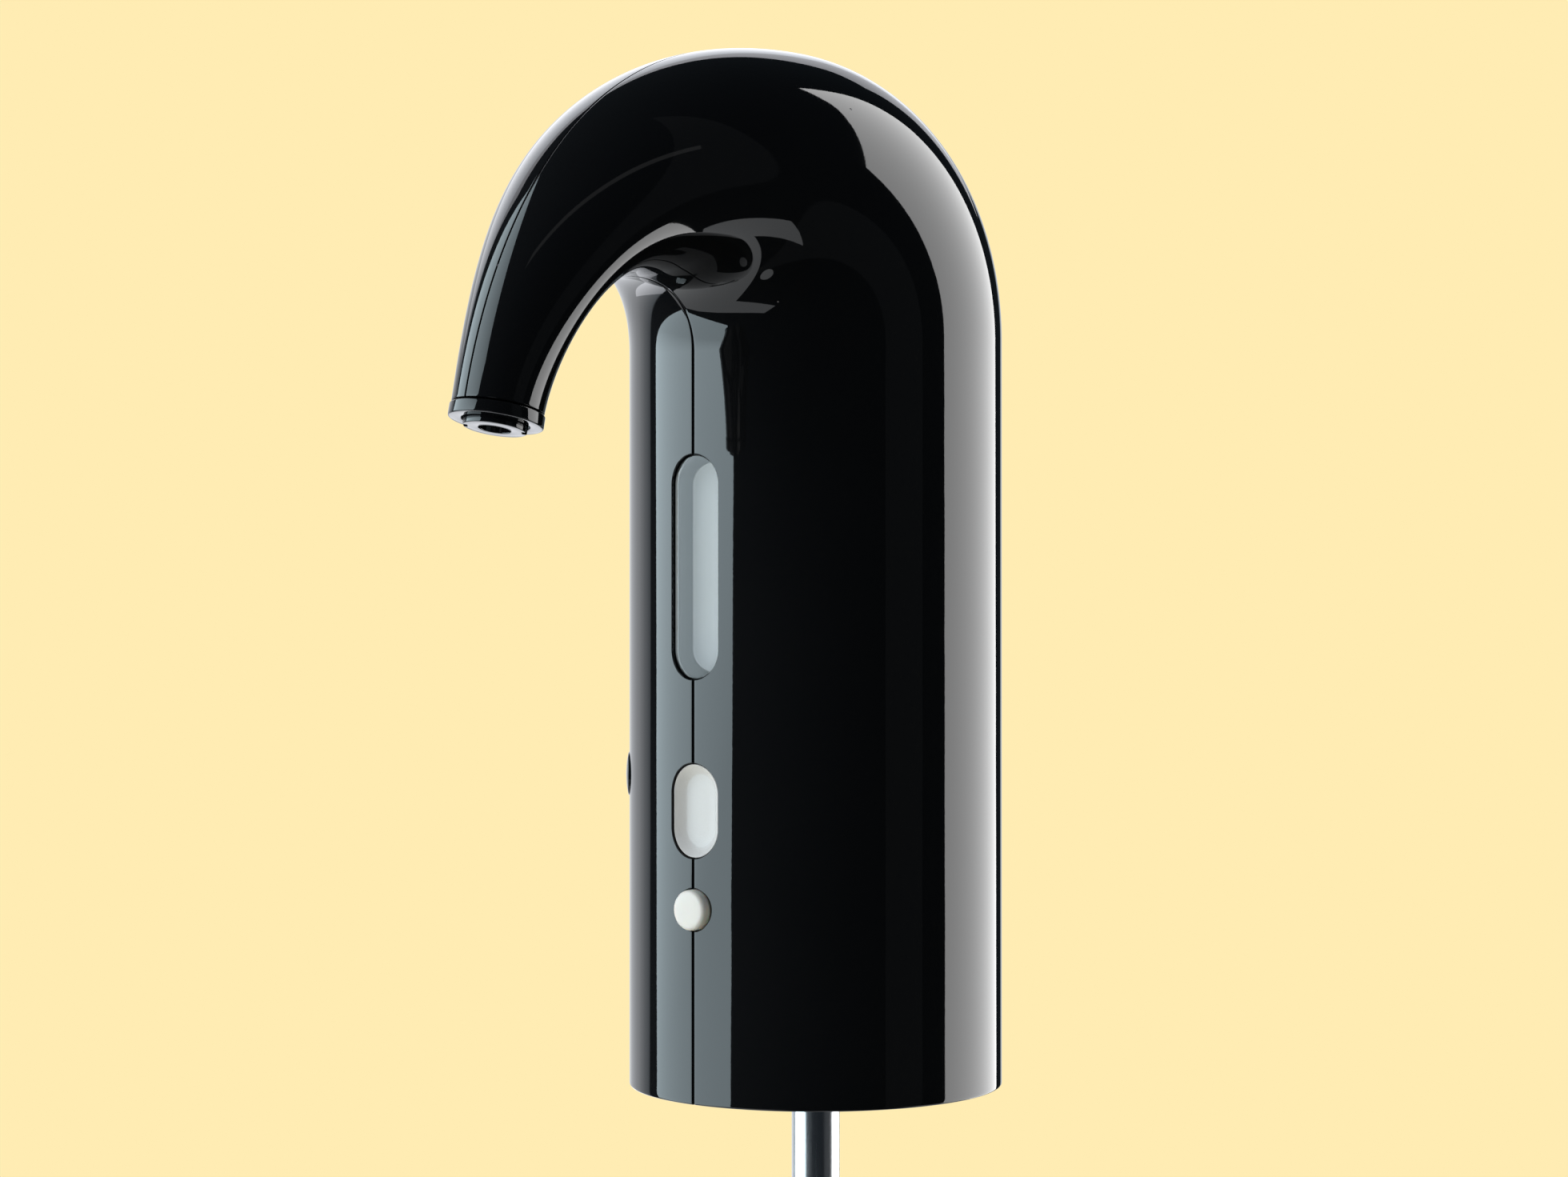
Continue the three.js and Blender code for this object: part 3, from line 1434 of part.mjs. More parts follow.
add('right_shell', rightShell(), 'glossBlack');
add('left_shell', leftShell(), 'glossBlack');
add('base_cup', baseCup(), 'blackPlastic');
add('bottle_stopper', bottleStopper(), 'silicone');
add('manifold', manifold(), 'blackPlastic');
add('tube_seal', tubeSeal(), 'silicone');
add('dip_tube_upper', dipTubeUpper(), 'steel');
add('dip_tube_ring', dipTubeRing(), 'blackPlastic');
add('dip_tube_lower', dipTubeLower(), 'steel');
add('dip_tube_foot', dipTubeFoot(), 'blackPlastic');
add('wine_hose', wineHose(), 'clearSilicone');
add('nozzle_ring', nozzleRing(), 'glossBlack');
add('nozzle_insert', nozzleInsert(), 'glossBlack');
add('window_lens', windowLens(), 'clear');
add('window_tray', windowTray(), 'paleGrey');
add('led_strip', ledStrip(), 'lampYellow');
add('main_button', mainButton(), 'satinSilver');
add('power_button', powerButton(), 'ivory');
add('side_button', sideButton(), 'glossBlack');
add('side_button_spring', sideButtonSpring(), 'steel');
add('release_valve', releaseValve(), 'blackPlastic');
add('chassis', chassis(), 'blackPlastic');
add('battery_cell', batteryCell(), 'cellWrap');
add('main_board', mainBoard(), 'board');
add('main_switch', tactSwitch(mainButtonCentreHeight), 'blackPlastic');
add('power_switch', tactSwitch(powerButtonCentreHeight), 'blackPlastic');
add('charge_socket', chargeSocket(), 'steel');
add('charge_board', chargeBoard(), 'board');
add('pump_motor', pumpMotor(), 'steel');
add('pump_sleeve', pumpSleeve(), 'silicone');
add('motor_shaft', motorShaft(), 'steel');
add('pump_crank', pumpCrank(), 'blackPlastic');
add('pump_case', pumpCase(), 'blackPlastic');
add('wobble_plate', wobblePlate(), 'blackPlastic');
add('pump_diaphragm', pumpDiaphragm(), 'silicone');
add('valve_plate', valvePlate(), 'blackPlastic');
add('pump_cap', pumpCap(), 'blackPlastic');
add('upper_air_hose', upperAirHose(), 'clearSilicone');
add('check_valve', checkValve(), 'blackPlastic');
add('lower_air_hose', lowerAirHose(), 'clearSilicone');

add('battery_lead', batteryLead(), 'redWire');
add('battery_return_lead', floorLead(floorLeadPlaces[0], -boardWidth / 3, cellX), 'blackWire');
add('motor_lead', floorLead(floorLeadPlaces[1], edgePadX, legClearX), 'redWire');
add('motor_return_lead', floorLead(floorLeadPlaces[2], edgePadX, legClearX, leadBend), 'blackWire');
add('charge_lead', chargeLead(), 'redWire');

baseScrewAngles.forEach((angle, index) => {
  const [x, y] = around(angle, bossDistance);
  add(`base_screw_${index + 1}`, upwardScrew(baseScrewLength, x, y, baseScrewBottom), 'steel');
});
legAngles.forEach((angle, index) => {
  const [x, y] = around(angle, legDistance);
  const headTop = legBottom + chassisScrewLength - cupTopThickness + screwHeadHeight + fitGap;
  add(`chassis_screw_${index + 1}`, downwardScrew(chassisScrewLength, x, y, headTop), 'steel');
});
boardScrewPlaces.forEach(([x, z], index) => {
  const headFront = boardFront - fitGap - screwHeadHeight;
  add(`board_screw_${index + 1}`, backwardScrew(boardScrewLength, x, headFront, z), 'steel');
});
upTo(pumpScrewCount).forEach((index) => {
  const [x, y] = pumpScrewPlace(index);
  const headTop = capTop + fitGap - boreGap;
  add(`pump_screw_${index + 1}`, downwardScrew(pumpScrewLength, pumpX + x, pumpY + y, headTop), 'steel');
});

export default aerator;
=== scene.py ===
"""Looks of the electric wine aerator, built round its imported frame.

Pieces are made in millimetres and come out in metres. The front is -Y, the crest is up, and the
two shells meet on the plane X = 0.
"""
import math

import bmesh
import bpy
import numpy as np
from mathutils import Matrix, Vector
from mathutils.bvhtree import BVHTree


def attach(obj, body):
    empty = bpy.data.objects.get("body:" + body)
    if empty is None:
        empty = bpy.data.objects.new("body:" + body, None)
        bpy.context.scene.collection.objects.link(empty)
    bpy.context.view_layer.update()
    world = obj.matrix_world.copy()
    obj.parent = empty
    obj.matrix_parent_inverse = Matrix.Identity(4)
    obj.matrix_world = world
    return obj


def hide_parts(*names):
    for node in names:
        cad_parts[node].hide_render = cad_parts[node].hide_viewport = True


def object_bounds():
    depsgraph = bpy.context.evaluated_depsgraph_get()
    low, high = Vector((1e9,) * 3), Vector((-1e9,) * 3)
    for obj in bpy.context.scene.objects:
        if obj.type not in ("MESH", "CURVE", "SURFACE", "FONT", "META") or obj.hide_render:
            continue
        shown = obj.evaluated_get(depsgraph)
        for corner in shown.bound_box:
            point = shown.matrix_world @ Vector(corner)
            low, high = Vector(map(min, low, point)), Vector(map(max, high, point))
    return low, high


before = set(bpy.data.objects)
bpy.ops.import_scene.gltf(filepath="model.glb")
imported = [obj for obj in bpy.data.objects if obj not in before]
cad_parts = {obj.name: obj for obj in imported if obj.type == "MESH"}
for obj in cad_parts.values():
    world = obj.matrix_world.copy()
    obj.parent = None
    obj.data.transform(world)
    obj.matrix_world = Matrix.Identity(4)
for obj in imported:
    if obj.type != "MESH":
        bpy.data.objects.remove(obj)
solid_box = [list(corner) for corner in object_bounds()]
MM = 0.001

# Housing
BODY_RADIUS = 31.0
WALL = 2.0
SEAM_GAP = 0.3
SEAM_ROUND = 0.22
# The seam draws together along the first share of the hook
SEAM_TIGHT = 0.4
SEAM_TIGHT_RUN = 0.1
LIP_INSET = 1.1
LIP_REACH = 1.2
RIM_ROUND = 0.3
TIP_ROUND = 0.2
SPOUT_RADIUS = 7.0
SPOUT_TILT = math.radians(12.5)
NARROW_START = 1.93
NARROW_END = 1.61
THROAT_PAIRING = 1.1
OUTER_TIP = (81.8, 110.6)
TIP_RUN = (math.sin(SPOUT_TILT), -math.cos(SPOUT_TILT))
TIP_ACROSS = (math.cos(SPOUT_TILT), math.sin(SPOUT_TILT))
INNER_TIP = tuple(o - 2 * SPOUT_RADIUS * a for o, a in zip(OUTER_TIP, TIP_ACROSS))
NOZZLE = tuple((o + i) / 2 for o, i in zip(OUTER_TIP, INNER_TIP))
# Each line is two cubic segments: start, start handle, end handle, end
BACK_LINE = [
    [(-31.0, 124.5), (-31.0, 151.5), (-11.9, 170.0), (12.5, 170.0)],
    [(12.5, 170.0), (53.2, 170.0), tuple(o - 31.7 * r for o, r in zip(OUTER_TIP, TIP_RUN)), OUTER_TIP],
]
THROAT_LINE = [
    [(31.0, 120.2), (31.0, 127.35), (36.95, 131.0), (44.1, 131.0)],
    [(44.1, 131.0), (58.9, 131.0), tuple(i - 15.3 * r for i, r in zip(INNER_TIP, TIP_RUN)), INNER_TIP],
]

# Openings in the front and their pieces
PILL_WIDTH = 9.75
WINDOW_HEIGHT = 36.1
WINDOW_CENTRE = 85.75
BUTTON_HEIGHT = 15.3
BUTTON_CENTRE = 46.85
POWER_RADIUS = 3.25
POWER_CENTRE = 31.1
SIDE_RADIUS = 3.65
SIDE_CENTRE = 51.5
SIDE_TURN = math.radians(50)
SOCKET_OPENING = (9.7, 4.0)
SOCKET_CENTRE = 17.0
OPENING_ROUND = 0.15
OPENING_OUTSIDE = (-3.0, -0.02)
OPENING_REACH = 22
FIT = 0.3
BORE_GAP = 0.2

# Screws of the base
SCREW_HOLE = 1.2
SCREW_SINK = 2.1
SCREW_BOSS = 3.2
SCREW_CIRCLE = 25.5

# How finely the shells are drawn, with extra rows and columns close to their edges
EDGE_STEPS = 4
BODY_ROWS = 8
HOOK_ROWS = 110
FIRST_LIFT, LAST_LIFT, FIRST_RUN = 0.004, 0.99, 0.003
EDGE_COLUMN = 0.004
WALL_COLUMNS = [0.0, EDGE_COLUMN, *[k / 60 for k in range(1, 60)], 1 - EDGE_COLUMN, 1.0]


# ---- Trees of nodes -------------------------------------------------------------------------

class Value:
    """A number in a tree of nodes. Sums and products with it add the nodes that work them out."""

    def __init__(self, wiring, socket):
        self.wiring, self.socket = wiring, socket

    def __add__(self, other):
        return self.wiring.math("ADD", self, other)

    def __sub__(self, other):
        return self.wiring.math("SUBTRACT", self, other)

    def __rsub__(self, other):
        return self.wiring.math("SUBTRACT", other, self)

    def __mul__(self, other):
        return self.wiring.math("MULTIPLY", self, other)

    def __truediv__(self, other):
        return self.wiring.math("DIVIDE", self, other)

    def __pow__(self, other):
        return self.wiring.math("POWER", self, other)


class Wiring:
    """Adds nodes to a tree and joins them. An input is a plain value or another node's output."""

    def __init__(self, tree):
        self.tree = tree

    def feed(self, socket, value):
        value = value.socket if isinstance(value, Value) else value
        if isinstance(value, bpy.types.NodeSocket):
            self.tree.links.new(value, socket)
        else:
            socket.default_value = value

    def node(self, kind, inputs=None, **settings):
        made = self.tree.nodes.new(kind)
        for key, value in settings.items():
            setattr(made, key, value)
        for key, value in (inputs or {}).items():
            self.feed(made.inputs[key], value)
        return made

    def result(self, kind, inputs=None, output=0, **settings):
        """One output of a new node, by its name or number."""
        return Value(self, self.node(kind, inputs, **settings).outputs[output])

    def math(self, operation, *values, clamp=False):
        return self.result("ShaderNodeMath", dict(enumerate(values)), operation=operation, use_clamp=clamp)

    def vector(self, operation, *values, output=0):
        return self.result("ShaderNodeVectorMath", dict(enumerate(values)), output, operation=operation)

    def mapped(self, value, low, high, to_low=0.0, to_high=1.0):
        return self.result("ShaderNodeMapRange", {0: value, 1: low, 2: high, 3: to_low, 4: to_high})

    def mixed(self, share, first, second):
        return self.result("ShaderNodeMix", {0: share, 6: first, 7: second}, 2, data_type="RGBA")

    def xyz(self, x=0.0, y=0.0, z=0.0):
        return self.result("ShaderNodeCombineXYZ", {0: x, 1: y, 2: z})

    def axis(self, vector, number):
        return self.result("ShaderNodeSeparateXYZ", {0: vector}, number)

    def place(self):
        return self.result("ShaderNodeTexCoord", output="Object")


SOCKET_KINDS = {float: "Float", int: "Int", tuple: "Vector"}


def new_tree(name, kind, inputs, outputs):
    """A tree with named inputs, each given by its value or its kind, and named outputs, each by its kind."""
    tree = bpy.data.node_groups.new(name, kind)
    for label, value in inputs.items():
        plain = type(value) in SOCKET_KINDS
        kind_of_socket = SOCKET_KINDS[type(value)] if plain else value
        socket = tree.interface.new_socket(name=label, in_out="INPUT", socket_type="NodeSocket" + kind_of_socket)
        if plain:
            socket.default_value = value
    for label, kind_of_socket in outputs.items():
        tree.interface.new_socket(name=label, in_out="OUTPUT", socket_type="NodeSocket" + kind_of_socket)
    w = Wiring(tree)
    given = {socket.name: Value(w, socket) for socket in w.node("NodeGroupInput").outputs}
    return w, given, w.node("NodeGroupOutput").inputs


def node_of(tree, kind):
    return next(node for node in tree.nodes if node.type == kind)


# ---- Finishes -------------------------------------------------------------------------------

# Marks, as shares of a cell of their pattern, and the ways that the cells of the hairlines are drawn out
SPECK_REACH, HAIR_REACH = 0.06, 0.12
HAIR_STRETCHES = ((1.0, 1.0, 0.05), (0.06, 1.0, 1.0))
# Where nearly all of a noise lies, and what marks add to the roughness
NOISE_SPAN = (0.3, 0.7)
SPECK_ROUGHNESS, SCRATCH_SHARE, METAL_SCRATCH = 0.5, 0.6, 0.06


def moulded_skin_group():
    """The slow waviness and fine grain of a moulded surface."""
    w, given, out = new_tree(
        "moulded_skin", "ShaderNodeTree",
        {"Wave Size": 40.0, "Grain Size": 1400.0, "Grain": 0.2, "Wave": 1.0}, {"Height": "Float", "Variation": "Float"})
    place = w.place()
    wave = w.result("ShaderNodeTexNoise", {"Vector": place, "Scale": given["Wave Size"], "Detail": 1.0})
    grain = w.result("ShaderNodeTexNoise", {"Vector": place, "Scale": given["Grain Size"], "Detail": 3.0})
    w.feed(out["Height"], wave * given["Wave"] + grain * given["Grain"])
    w.feed(out["Variation"], w.math("MULTIPLY_ADD", grain, 0.5, wave * 0.5))
    return w.tree


def handling_group():
    """Sparse dust specks, and short hairlines in two directions, from handling."""
    w, given, out = new_tree(
        "handling_marks", "ShaderNodeTree",
        {"Speck Size": 260.0, "Speck Share": 0.012, "Scratch Size": 400.0, "Scratch Share": 0.02},
        {"Specks": "Float", "Scratches": "Float"})
    place = w.place()

    def marks(name, stretched, channel, reach):
        cells = w.node("ShaderNodeTexVoronoi", {"Vector": stretched, "Scale": given[f"{name} Size"]}).outputs
        chance = w.result("ShaderNodeSeparateColor", {0: cells["Color"]}, channel)
        chosen = w.math("LESS_THAN", chance, given[f"{name} Share"])
        return chosen * w.math("LESS_THAN", cells["Distance"], reach)

    w.feed(out["Specks"], marks("Speck", place, 0, SPECK_REACH))
    hairs = [marks("Scratch", w.vector("MULTIPLY", place, stretch), 1, HAIR_REACH) for stretch in HAIR_STRETCHES]
    w.feed(out["Scratches"], w.math("MAXIMUM", *hairs))
    return w.tree


def brushed_group():
    """Fine drawn lines along one direction."""
    w, given, out = new_tree("drawn_lines", "ShaderNodeTree", {"Stretch": (900.0, 900.0, 12.0), "Depth": 1.0},
                             {"Height": "Float", "Variation": "Float"})
    drawn = w.vector("MULTIPLY", w.place(), given["Stretch"])
    lines = w.result("ShaderNodeTexNoise", {"Vector": drawn, "Scale": 1.0, "Detail": 4.0})
    w.feed(out["Height"], lines * given["Depth"])
    w.feed(out["Variation"], lines)
    return w.tree


GROUPS = {"moulded": moulded_skin_group(), "handling": handling_group(), "brushed": brushed_group()}


def new_material(name):
    material = bpy.data.materials.new(name)
    material.use_nodes = True
    material.node_tree.nodes.clear()
    w = Wiring(material.node_tree)
    surface = w.node("ShaderNodeBsdfPrincipled")
    w.node("ShaderNodeOutputMaterial", {"Surface": surface.outputs[0]})
    return material, w, surface.inputs


def covered(name, tones, rough, skin_kind, skin_values, specks, scratch, bump, distance, speck_colour, sockets):
    """A finish of two close tones and a range of roughness, with the height of its skin and handling marks."""
    material, w, surface = new_material(name)
    skin = w.node("ShaderNodeGroup", skin_values, node_tree=GROUPS[skin_kind]).outputs
    marks = w.node("ShaderNodeGroup", {"Speck Share": specks}, node_tree=GROUPS["handling"]).outputs
    base = w.mixed(skin["Variation"], *((*tone, 1.0) for tone in tones))
    w.feed(surface["Base Color"], w.mixed(marks["Specks"], base, speck_colour))
    plain = w.mapped(skin["Variation"], *NOISE_SPAN, *rough)
    scratched = w.math("MULTIPLY_ADD", marks["Scratches"], scratch, plain)
    w.feed(surface["Roughness"], w.math("MULTIPLY_ADD", marks["Specks"], SPECK_ROUGHNESS, scratched, clamp=True))
    relief = {"Height": skin["Height"], "Strength": bump, "Distance": distance}
    w.feed(surface["Normal"], w.result("ShaderNodeBump", relief))
    for key, value in sockets.items():
        surface[key.replace("_", " ")].default_value = value
    FINISH[name] = material


def moulded(name, first, second, rough, bump=0.02, wave=1.0, grain=0.2, specks=0.012, wave_size=40.0,
            grain_size=1400.0, distance=0.0002, speck_colour=(0.35, 0.35, 0.36, 1.0), **sockets):
    """A moulded plastic or rubber, wavy and grained."""
    skin = {"Wave Size": wave_size, "Grain Size": grain_size, "Grain": grain, "Wave": wave}
    covered(name, (first, second), rough, "moulded", skin, specks, rough[1] * SCRATCH_SHARE, bump, distance,
            speck_colour, sockets)


def metal(name, first, second, rough, stretch=(900.0, 900.0, 12.0), bump=0.08, distance=0.0001):
    """A drawn, brushed or stamped metal, without specks."""
    covered(name, (first, second), rough, "brushed", {"Stretch": stretch}, 0.0, METAL_SCRATCH, bump, distance,
            (*first, 1.0), {"Metallic": 1.0})


FINISH = {}
moulded("gloss_black", (0.0026, 0.0031, 0.0036), (0.0042, 0.0046, 0.0052), (0.02, 0.04), bump=0.05, grain=0.02,
        wave_size=45.0, distance=0.001, speck_colour=(0.12, 0.12, 0.13, 1.0))
moulded("black_plastic", (0.016, 0.016, 0.018), (0.028, 0.028, 0.03), (0.38, 0.52), bump=0.25, wave=0.2, grain=1.0,
        grain_size=2600.0)
moulded("dark_silicone", (0.045, 0.047, 0.05), (0.06, 0.062, 0.066), (0.55, 0.7), bump=0.1, wave=0.5, grain=0.6,
        specks=0.03, Subsurface_Weight=0.05)
moulded("clear_silicone", (0.78, 0.8, 0.77), (0.85, 0.86, 0.84), (0.22, 0.35), bump=0.05, wave=1.0, grain=0.2,
        specks=0.004, Transmission_Weight=0.75, IOR=1.41)
moulded("clear_lens", (0.96, 0.98, 0.99), (0.98, 0.99, 1.0), (0.01, 0.03), bump=0.01, grain=0.0, specks=0.0,
        wave_size=60.0, Transmission_Weight=1.0, IOR=1.49)
moulded("pale_grey", (0.75, 0.83, 0.85), (0.81, 0.88, 0.9), (0.32, 0.42), bump=0.08, wave=0.3, grain=0.5, specks=0.0,
        grain_size=2200.0)
moulded("lamp", (0.78, 0.76, 0.5), (0.86, 0.85, 0.62), (0.3, 0.4), bump=0.05, specks=0.0, Subsurface_Weight=0.2)
moulded("ivory", (0.78, 0.73, 0.68), (0.82, 0.77, 0.72), (0.38, 0.48), bump=0.06, wave=0.3, grain=0.4, specks=0.004,
        Subsurface_Weight=0.25)
moulded("cell_wrap", (0.04, 0.14, 0.32), (0.05, 0.18, 0.4), (0.22, 0.3), bump=0.08, wave=1.0, grain=0.1,
        wave_size=120.0)
moulded("circuit_board", (0.008, 0.09, 0.03), (0.012, 0.14, 0.05), (0.25, 0.4), bump=0.1, wave=0.2, grain=0.5,
        grain_size=900.0)
moulded("red_lead", (0.4, 0.015, 0.015), (0.48, 0.03, 0.025), (0.35, 0.45), bump=0.1)
moulded("black_lead", (0.012, 0.012, 0.013), (0.02, 0.02, 0.022), (0.35, 0.45), bump=0.1)
metal("steel", (0.56, 0.57, 0.59), (0.68, 0.69, 0.7), (0.18, 0.3))
metal("screw_steel", (0.42, 0.42, 0.44), (0.55, 0.55, 0.56), (0.25, 0.38), stretch=(700.0, 700.0, 700.0))
moulded("satin_silver", (0.76, 0.79, 0.79), (0.82, 0.85, 0.85), (0.42, 0.52), bump=0.2, wave=0.3, grain=1.0,
        specks=0.0, grain_size=3200.0)

# Where the painted shade on the pocket's walls ends over its floor, in Y and metres, and the colour of that painted
# shade
POCKET_SHADE = (-0.02605, -0.0259)
POCKET_PAINTED_SHADE = (0.03, 0.035, 0.036, 1.0)
# The share of a lamp's light that passes the lens
LENS_CLEARNESS = 0.94


def shade_pocket_walls():
    """Paints shade on the tray's pocket: its walls are painted dark and only its floor is pale."""
    w = Wiring(FINISH["pale_grey"].node_tree)
    surface = node_of(w.tree, "BSDF_PRINCIPLED").inputs["Base Color"]
    pale = surface.links[0].from_socket
    w.feed(surface, w.mixed(w.mapped(w.axis(w.place(), 1), *POCKET_SHADE), POCKET_PAINTED_SHADE, pale))


def let_light_through():
    """Matt surfaces behind the lens receive the lamps' light."""
    w = Wiring(FINISH["clear_lens"].node_tree)
    seen = w.node("ShaderNodeLightPath").outputs
    matt = w.math("MAXIMUM", seen["Is Shadow Ray"], seen["Is Diffuse Ray"])
    w.feed(node_of(w.tree, "BSDF_PRINCIPLED").inputs["Alpha"], w.math("MULTIPLY_ADD", matt, -LENS_CLEARNESS, 1.0))


shade_pocket_walls()
let_light_through()


# ---- Meshes ---------------------------------------------------------------------------------

def linked(name, data):
    """A new object in the scene, from its mesh, lamp or camera."""
    made = bpy.data.objects.new(name, data)
    bpy.context.scene.collection.objects.link(made)
    return made


def mesh_object(name, points, faces=(), edges=()):
    mesh = bpy.data.meshes.new(name)
    mesh.from_pydata([tuple(map(float, p)) for p in points], edges, faces)
    mesh.validate()
    return linked(name, mesh)


def baked(thing):
    """The object with what its modifiers make as its plain mesh."""
    bpy.context.view_layer.update()
    view = bpy.context.evaluated_depsgraph_get()
    mesh = bpy.data.meshes.new_from_object(thing.evaluated_get(view), depsgraph=view)
    thing.modifiers.clear()
    thing.data = mesh
    return thing


def bevelled(thing, width, segments, limit):
    """The object with its edges rounded, where they turn by more than a limit in degrees."""
    rounding = thing.modifiers.new("edge", "BEVEL")
    rounding.width = width
    rounding.segments = segments
    rounding.angle_limit = math.radians(limit)
    return baked(thing)


def combined(thing, others, operation):
    """A cut, a join or an overlap with other closed pieces, which are used up."""
    for other in others:
        made = thing.modifiers.new(operation, "BOOLEAN")
        made.operation = operation
        made.solver = "EXACT"
        made.object = other
        baked(thing)
        bpy.data.objects.remove(other)
    return thing


def cut(thing, *others):
    return combined(thing, others, "DIFFERENCE")


def joined(thing, *others):
    return combined(thing, others, "UNION")


def polar(degrees, distance):
    return distance * math.cos(math.radians(degrees)), distance * math.sin(math.radians(degrees))


def about_z(degrees):
    return Matrix.Rotation(math.radians(degrees), 4, "Z")


def lifted(height):
    return Matrix.Translation((0, 0, height))


def moved(thing, matrix):
    thing.data.transform(matrix)
    return thing


def band(low, high, count):
    """The faces between two rings of points, from the number of each ring's first point."""
    return [(low + k, low + (k + 1) % count, high + (k + 1) % count, high + k) for k in range(count)]


def ring_skin(name, rings):
    """A closed skin over a stack of equal rings."""
    count, last = len(rings[0]), len(rings[0]) * (len(rings) - 1)
    faces = [face for low in range(0, last, count) for face in band(low, low + count, count)]
    faces += [tuple(reversed(range(count))), tuple(range(last, last + count))]
    return outward(mesh_object(name, [p for ring in rings for p in ring], faces))


def outward(thing):
    """Turns the faces of a closed mesh outwards."""
    mesh = thing.data
    mesh.calc_loop_triangles()
    volume = 0.0
    for t in mesh.loop_triangles:
        a, b, c = (mesh.vertices[i].co for i in t.vertices)
        volume += a.dot(b.cross(c))
    if volume < 0:
        mesh.flip_normals()
    return thing


TINY = 1e-6


def rounded_line(points, radius, steps=4, largest_share=0.45):
    """A closed outline in [radius, height], its corners rounded by radius or by a third value of their own."""
    line = []
    count = len(points)
    for k, point in enumerate(points):
        here = Vector(point[:2])
        want = point[2] if len(point) > 2 else radius
        before = Vector(points[k - 1][:2]) - here
        after = Vector(points[(k + 1) % count][:2]) - here
        reach = min(want, before.length * largest_share, after.length * largest_share)
        if reach < 1e-4 or here.x < TINY:
            line.append(tuple(here))
            continue
        start = here + before.normalized() * reach
        end = here + after.normalized() * reach
        for step in range(steps + 1):
            t = step / steps
            line.append(tuple(start * (1 - t) ** 2 + here * (2 * t * (1 - t)) + end * t ** 2))
    return line


def turned(name, points, radius=0.2, sides=96, steps=4):
    """A turned piece about Z, from a closed outline in [radius, height] or one that ends on the axis."""
    on_axis = points[0][0] == 0 and points[-1][0] == 0
    verts, faces, rows = [], [], []
    for reach, height in rounded_line(points, radius, steps):
        around = 1 if reach < TINY else sides
        rows.append(range(len(verts), len(verts) + around))
        if around == 1:
            verts.append((0, 0, height))
            continue
        for k in range(sides):
            angle = 2 * math.pi * k / sides
            verts.append((reach * math.cos(angle), reach * math.sin(angle), height))
    for low, high in list(zip(rows, rows[1:])) + ([] if on_axis else [(rows[-1], rows[0])]):
        if len(low) == len(high) == 1:
            continue
        for k in range(sides):
            n = (k + 1) % sides
            if len(low) == 1:
                faces.append((low[0], high[n], high[k]))
            elif len(high) == 1:
                faces.append((low[k], low[n], high[0]))
            else:
                faces.append((low[k], low[n], high[n], high[k]))
    return outward(mesh_object(name, verts, faces))


def rod(name, radius, low, high, x=0.0, y=0.0, edge=0.0, sides=48):
    made = turned(name, [(0, low), (radius, low), (radius, high), (0, high)], edge, sides)
    return moved(made, Matrix.Translation((x, y, 0)))


def at_each(places, name, radius, low, high, edge=0.0, sides=48):
    return [rod(name, radius, low, high, x, y, edge, sides) for x, y in places]


def block(name, x0, x1, y0, y1, z0, z1, edge=0.0):
    """A block between two corners, with its edges rounded."""
    corners = [(x, y, z) for z in (z0, z1) for y in (y0, y1) for x in (x0, x1)]
    faces = [(0, 2, 3, 1), (4, 5, 7, 6), (0, 1, 5, 4), (2, 6, 7, 3), (0, 4, 6, 2), (1, 3, 7, 5)]
    made = mesh_object(name, corners, faces)
    return outward(bevelled(made, edge, 3, 30) if edge else made)


def pill_line(width, height, grow=0.0, steps=20):
    """The outline of an upright or level slot with round ends, in X and Z, grown all round."""
    radius = min(width, height) / 2
    up, over = height / 2 - radius, width / 2 - radius
    line = []
    for k in range(4 * steps):
        angle = 2 * math.pi * (k + 0.5) / (4 * steps)
        x, z = math.cos(angle), math.sin(angle)
        line.append(((radius + grow) * x + math.copysign(over, x), (radius + grow) * z + math.copysign(up, z)))
    return line


def quarter(steps):
    """The angles of a quarter round."""
    return [math.pi / 2 * k / steps for k in range(steps + 1)]


def pill_ring(size, centre, grow=0.0, depth=None, plane=None):
    """A slot's outline, grown all round, laid on the front: under the round body or on a plane of its own."""
    ring = []
    for x, z in pill_line(*size, grow):
        y = plane if plane is not None else -(math.sqrt(max(BODY_RADIUS ** 2 - x * x, 0.0)) - depth)
        ring.append((x, y, z + centre))
    return ring


def rounded_rim(size, centre, sunk, edge, steps):
    """The rings of the rounded rim of a piece that stands in an opening, from its side to its face."""
    return [pill_ring(size, centre, -edge * (1 - math.cos(angle)), sunk + edge * (1 - math.sin(angle)))
            for angle in quarter(steps)]


def opening_tool(name, size, centre, turn=0.0):
    """A tool that cuts a pill or a round hole through the front wall and rounds its outer edge."""
    rings = [pill_ring(size, centre, OPENING_ROUND, depth) for depth in OPENING_OUTSIDE]
    rings += [pill_ring(size, centre, OPENING_ROUND * (1 - math.sin(angle)), OPENING_ROUND * (1 - math.cos(angle)))
              for angle in quarter(5)]
    rings.append(pill_ring(size, centre, plane=-OPENING_REACH))
    return moved(ring_skin(name, rings), Matrix.Rotation(turn, 4, "Z"))


def dressed(thing, finish, body):
    """Brings a piece to metres, and gives it its finish and its body."""
    mesh = thing.data
    mesh.materials.clear()
    mesh.materials.append(FINISH[finish])
    mesh.polygons.foreach_set("material_index", [0] * len(mesh.polygons))
    mesh.transform(Matrix.Scale(MM, 4))
    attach(thing, body)


